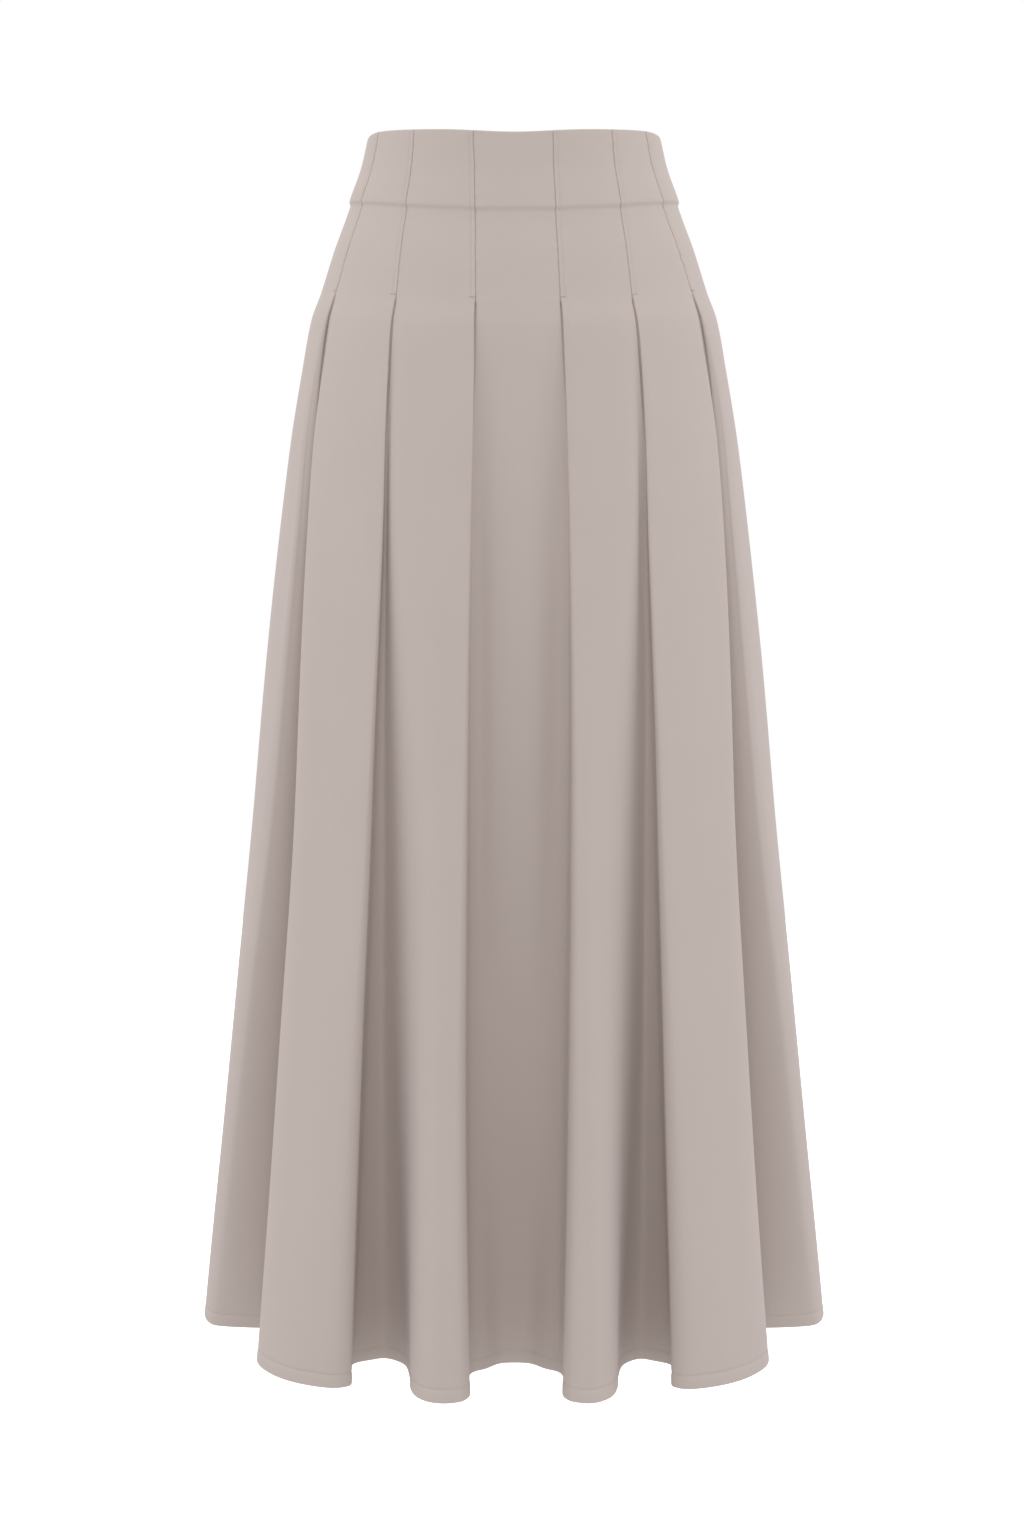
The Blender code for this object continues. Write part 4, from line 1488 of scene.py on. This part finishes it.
# --------------------------------------------------------------------------------------- the zip
@dataclass
class ConcealedZip:
    """Tape and closed coil inside the centre-back seam, and the pull outside it."""

    plan: PleatPlan
    top: float = 0.004             # the tape's ends, below the waist
    end: float = 0.190
    tape_half: float = 0.012
    tape_thick: float = 0.0005
    stand_off: float = 0.0003
    wall_faced: float = 0.0024
    wall_single: float = 0.0012
    wall_step: float = 0.0045      # over which the wall changes
    rows: int = 64
    columns: int = 13
    tooth: tuple[float, float, float] = (0.0042, 0.0010, 0.0009)
    tooth_pitch: float = 0.0013
    tooth_bevel: float = 0.00028
    tooth_skew: float = 0.10
    coil_top: float = 0.012        # tape left bare above the coil
    coil_end: float = 0.004
    slider_top: float = 0.007
    slider_size: tuple[float, float, float] = (0.0056, 0.0022, 0.0090)
    pin_out: float = 0.00105
    pin_low: float = 0.0009
    pull_size: tuple[float, float, float] = (0.0056, 0.0009, 0.0240)
    pull_eye: tuple[float, float] = (0.0026, 0.0042)
    pull_bar: float = 0.0009
    pull_foot: float = 0.0016      # plain end below the sunk panel
    pull_tip: float = 0.60
    pull_lean: float = 2.5
    pull_bevel: float = 0.00016
    pull_sharp: float = 35.0
    panel_inset: float = 0.0007
    panel_depth: float = 0.00012

    def centre_back(self, drop: float) -> Vector:
        """Outer point of the plain cloth at the centre back."""
        names = [cut.name for cut in self.plan.gores]
        return Vector(self.plan.runs(drop)[names.index("gore_back_centre_right")][0])

    def inside(self, drop: float, across: np.ndarray, depth: float) -> np.ndarray:
        """Place points side by side inside the centre-back seam.

        Args:
            drop: How far below the waist they are.
            across: Their distances from the seam, along X.
            depth: Distance in from the tape's outer face.

        Returns:
            The points, one row each.
        """
        envelope = self.plan.envelope
        centre, level = self.centre_back(drop), envelope.level(drop)
        faced = ramp(np.array(drop), envelope.facing + self.wall_step, envelope.facing)
        wall = self.wall_single + (self.wall_faced - self.wall_single) * float(faced)
        bow = level.back / (2.0 * level.half_width)
        out = centre.y - wall - self.stand_off - depth - bow * across ** 2
        return np.stack([across, out, np.full(across.shape, centre.z)], axis=-1)

    def tape(self) -> bpy.types.Object:
        """Make the tape, a thin closed sheet.

        Returns:
            The new piece.
        """
        drops = np.linspace(self.top, self.end, self.rows)
        across = np.linspace(self.tape_half, -self.tape_half, self.columns)
        points = np.array([[self.inside(drop, across, depth) for drop in drops]
                           for depth in (0.0, self.tape_thick)])
        near, far = np.arange(points[..., 0].size).reshape(2, self.rows, self.columns)
        faces = []
        for r in range(self.rows - 1):
            for c in range(self.columns - 1):
                faces.append((near[r, c], near[r + 1, c], near[r + 1, c + 1], near[r, c + 1]))
                faces.append((far[r, c], far[r, c + 1], far[r + 1, c + 1], far[r + 1, c]))
            faces.append((near[r, 0], far[r, 0], far[r + 1, 0], near[r + 1, 0]))
            faces.append((near[r, -1], near[r + 1, -1], far[r + 1, -1], far[r, -1]))
        for c in range(self.columns - 1):
            faces.append((near[0, c], near[0, c + 1], far[0, c + 1], far[0, c]))
            faces.append((near[-1, c], far[-1, c], far[-1, c + 1], near[-1, c + 1]))
        points = points.reshape(-1, 3)
        obj = mesh_object("zip_tape", points, [tuple(int(v) for v in f) for f in faces])
        lay_flat(obj, points[:, ::2])
        smooth(obj.data)
        return obj

    def coil(self) -> bpy.types.Object:
        """Make the closed coil, one turn modelled and copied down the tape.

        Returns:
            The new piece.
        """
        deselect_all()
        bpy.ops.mesh.primitive_cube_add(size=1.0)
        model = bpy.context.active_object
        edit_all()
        bpy.ops.transform.resize(value=self.tooth, center_override=(0.0, 0.0, 0.0))
        bpy.ops.mesh.bevel(offset=self.tooth_bevel, segments=2, affect="EDGES")
        bpy.ops.object.mode_set(mode="OBJECT")
        shape, sides = take_shape(model)
        points, faces = [], []
        depth = self.tape_thick + self.tooth[1] / 2.0
        drop = self.top + self.coil_top
        while drop < self.end - self.coil_end:
            skew = self.tooth_skew if len(points) % 2 else -self.tooth_skew
            moved = shape.copy()
            moved[:, 2] += skew * moved[:, 0]
            start = len(points) * len(shape)
            faces += [tuple(v + start for v in side) for side in sides]
            points.append(moved + self.inside(drop, np.zeros(1), depth))
            drop += self.tooth_pitch
        obj = mesh_object("zip_coil", np.concatenate(points), faces)
        smooth(obj.data)
        return obj

    def outside_frame(self) -> Matrix:
        """Lay a frame on the cloth at the slider's top.

        Returns:
            The frame: X across, Y out of the cloth, Z up it.
        """
        top = self.centre_back(self.slider_top)
        low = self.centre_back(self.slider_top + self.pull_size[2])
        up = (top - low).normalized()
        across = Vector((1.0, 0.0, 0.0))
        out = up.cross(across)
        placed = Matrix((across, out, up)).transposed().to_4x4()
        placed.translation = top + out * self.stand_off
        return placed

    def pull(self) -> bpy.types.Object:
        """Make the pull tab: a tapered plate with an eye, a sunk panel and softened edges.

        Returns:
            The new piece.
        """
        width, thick, length = self.pull_size
        top, eye_half = self.pull_bar / 2.0, self.pull_eye[0] / 2.0
        eye_top, eye_low = -top, -top - self.pull_eye[1]
        foot_at = top - length + self.pull_foot
        deselect_all()
        bpy.ops.mesh.primitive_cube_add(size=1.0)
        obj = bpy.context.active_object
        obj.name = "zip_pull_plate"
        mesh = obj.data
        mesh.transform(Matrix.Diagonal((width, thick, length, 1.0)))
        mesh.transform(Matrix.Translation((0.0, 0.0, top - length / 2.0)))
        cuts = [((0.0, 0.0, height), (0.0, 0.0, 1.0)) for height in (eye_top, eye_low, foot_at)]
        cuts += [((across, 0.0, 0.0), (1.0, 0.0, 0.0)) for across in (-eye_half, eye_half)]
        bpy.ops.object.mode_set(mode="EDIT")
        for place, normal in cuts:
            bpy.ops.mesh.select_all(action="SELECT")
            bpy.ops.mesh.bisect(plane_co=place, plane_no=normal)
        self.pick_faces(mesh, lambda c, n: abs(n.y) > 0.5 and eye_low < c.z < eye_top
                        and abs(c.x) < eye_half)
        bpy.ops.mesh.delete(type="FACE")
        bpy.ops.mesh.select_all(action="DESELECT")
        bpy.ops.mesh.select_mode(type="EDGE")
        bpy.ops.mesh.select_non_manifold(extend=False)
        bpy.ops.mesh.bridge_edge_loops()
        bpy.ops.mesh.select_mode(type="FACE")
        self.pick_faces(mesh, lambda c, n: abs(n.y) > 0.5 and foot_at < c.z < eye_low)
        bpy.ops.mesh.inset(thickness=self.panel_inset, depth=-self.panel_depth)
        bpy.ops.object.mode_set(mode="OBJECT")
        for vertex in mesh.vertices:
            share = min(max((eye_low - vertex.co.z) / (length + eye_low), 0.0), 1.0)
            vertex.co.x *= 1.0 - (1.0 - self.pull_tip) * share
        soften = obj.modifiers.new("softened", "BEVEL")
        soften.width = self.pull_bevel
        soften.segments = 2
        soften.limit_method = "ANGLE"
        bpy.ops.object.modifier_apply(modifier=soften.name)
        pivot = Vector((0.0, self.slider_size[1] + self.pin_out,
                        -self.slider_size[2] / 2.0 - self.pin_low))
        lean = Matrix.Rotation(math.radians(-self.pull_lean), 4, "X")
        mesh.transform(self.outside_frame() @ Matrix.Translation(pivot) @ lean)
        smooth(mesh, self.pull_sharp)
        return obj

    @staticmethod
    def pick_faces(mesh: bpy.types.Mesh, wanted: Callable[[Vector, Vector], bool]) -> None:
        """Select, in edit mode, only the faces that pass a test.

        Args:
            mesh: The mesh.
            wanted: The test of a face's middle and normal.
        """
        bpy.ops.object.mode_set(mode="OBJECT")
        for item in list(mesh.vertices) + list(mesh.edges):
            item.select = False
        for polygon in mesh.polygons:
            polygon.select = wanted(polygon.center, polygon.normal)
        bpy.ops.object.mode_set(mode="EDIT")

    def build(self, tape: bpy.types.Material, enamel: bpy.types.Material) -> None:
        """Make and dress the zip.

        Args:
            tape: Material of the tape and coil.
            enamel: Material of the slider and pull.
        """
        cloth = self.tape()
        dress(cloth, tape, "skirt")
        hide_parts("zip_chain")
        coil = self.coil()
        dress(coil, tape, "skirt")
        pull = self.pull()
        dress(pull, enamel, "zip_pull_tab")
        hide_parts("zip_pull")
        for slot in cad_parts["zip_slider"].material_slots:
            slot.material = enamel
        LOG.info("zip: tape, %d coil faces, pull", len(coil.data.polygons))


# ------------------------------------------------------------------------------------ the studio
@dataclass(frozen=True)
class SoftBox:
    """A square soft light that looks at the skirt's middle."""

    name: str
    place: tuple[float, float, float]
    size: tuple[float, float]
    power: float

    def build(self, target: Vector) -> None:
        """Add the light to the scene.

        Args:
            target: The point that it looks at.
        """
        data = bpy.data.lights.new(self.name, "AREA")
        data.shape = "RECTANGLE"
        data.size, data.size_y = self.size
        data.energy = self.power
        light = bpy.data.objects.new(self.name, data)
        light.location = self.place
        light.rotation_euler = (target - Vector(self.place)).to_track_quat("-Z", "Y").to_euler()
        bpy.context.scene.collection.objects.link(light)


@dataclass(frozen=True)
class Studio:
    """A plain white sweep and a pale floor, with a broad soft light before the skirt and one
    above it on each side."""

    floor_drop: float = 1.90
    floor_half: float = 9.0
    floor_grey: Colour = (0.9, 0.9, 0.9, 1.0)
    floor_rough: float = 0.95
    floor_glow: float = 0.55
    from_front: float = 0.785      # strength of the surroundings as light, by direction
    from_behind: float = 0.93
    front_end: float = -0.6        # Y of the direction before which it is that of the front
    from_above: float = 0.11
    from_sides: float = 0.16
    seen: float = 1.0
    target: tuple[float, float, float] = (0.0, 0.0, -0.45)
    boxes: tuple[SoftBox, ...] = (
        SoftBox("key", (0.10, -3.4, 0.75), (2.6, 2.2), 19.0),
        SoftBox("side_left", (1.95, 0.10, 1.70), (1.4, 2.0), 16.0),
        SoftBox("side_right", (-1.95, 0.10, 1.70), (1.4, 2.0), 16.0),
    )

    def world(self) -> None:
        """Make white surroundings, brighter above, at the sides and behind the skirt than
        before it, which the camera sees as plain white."""
        world = bpy.data.worlds.new("white_sweep")
        bpy.context.scene.world = world
        world.use_nodes = True
        tree = world.node_tree
        place = new_node(tree, "ShaderNodeTexCoord")
        parts = new_node(tree, "ShaderNodeSeparateXYZ", {0: place.outputs["Generated"]})
        across, along, up = parts.outputs
        behind = new_node(tree, "ShaderNodeMapRange",
                          {"Value": along, "From Min": self.front_end, "From Max": 1.0,
                           "To Min": self.from_front, "To Max": self.from_behind},
                          interpolation_type="SMOOTHSTEP").outputs["Result"]
        above = worked_out(tree, "MULTIPLY_ADD", up, self.from_above, behind)
        aside = worked_out(tree, "MULTIPLY", across, across)
        strength = worked_out(tree, "MULTIPLY_ADD", aside, self.from_sides, above)
        lit = tree.nodes["Background"]
        feed(tree, lit, {"Color": WHITE, "Strength": strength})
        seen = new_node(tree, "ShaderNodeBackground", {"Color": WHITE, "Strength": self.seen})
        path = new_node(tree, "ShaderNodeLightPath")
        mix = new_node(tree, "ShaderNodeMixShader", {0: path.outputs["Is Camera Ray"],
                                                     1: lit.outputs[0], 2: seen.outputs[0]})
        feed(tree, tree.nodes["World Output"], {"Surface": mix.outputs[0]})

    def floor(self) -> None:
        """Make a pale floor well below the hem, which sends no light back to the skirt."""
        deselect_all()
        bpy.ops.mesh.primitive_plane_add(size=2.0 * self.floor_half,
                                         location=(0.0, 0.0, -self.floor_drop))
        floor = bpy.context.active_object
        floor.name = "floor"
        mat, tree, shader = new_material("pale_floor")
        feed(tree, shader, {"Base Color": self.floor_grey, "Roughness": self.floor_rough,
                            "Emission Color": WHITE, "Emission Strength": self.floor_glow})
        floor.data.materials.append(mat)
        floor.visible_diffuse = False
        floor.visible_glossy = False
        floor.visible_shadow = False

    def build(self) -> None:
        """Make the surroundings, the floor and the lights."""
        self.world()
        self.floor()
        for box in self.boxes:
            box.build(Vector(self.target))
        bpy.context.scene.view_settings.view_transform = "Standard"


@dataclass(frozen=True)
class PhotoCamera:
    """The camera, at the photograph's viewing angle."""

    place: tuple[float, float, float] = (-0.0018, -1.946, -0.38123)
    tilt_down: float = 4.15
    lens: float = 54.305
    sensor: float = 36.0

    def build(self) -> None:
        """Make the camera and set the scene to look through it."""
        data = bpy.data.cameras.new("photo_camera")
        data.lens = self.lens
        data.sensor_width = self.sensor
        camera = bpy.data.objects.new("photo_camera", data)
        camera.location = self.place
        camera.rotation_euler = (math.radians(90.0 - self.tilt_down), 0.0, 0.0)
        bpy.context.scene.collection.objects.link(camera)
        bpy.context.scene.camera = camera


def main() -> None:
    """Build the skirt's looks and the studio round it, piece by piece."""
    logging.basicConfig(level=logging.INFO, format="%(name)s: %(message)s")
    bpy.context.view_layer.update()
    PhotoCamera().build()
    Studio().build()
    shared = SurfaceGroups()
    groups = {"weave": shared.weave(), "mottle": shared.mottle()}
    form = DrapedForm()
    LOG.info("form: %d rows", len(form.drops))
    SkirtCloth(form).build(CREPE.build(groups))
    Stitching(form).build(THREAD.build(groups))
    ConcealedZip(form.plan).build(TAPE.build(groups), EnamelFinish().build(groups))


if __name__ == "__main__":
    main()
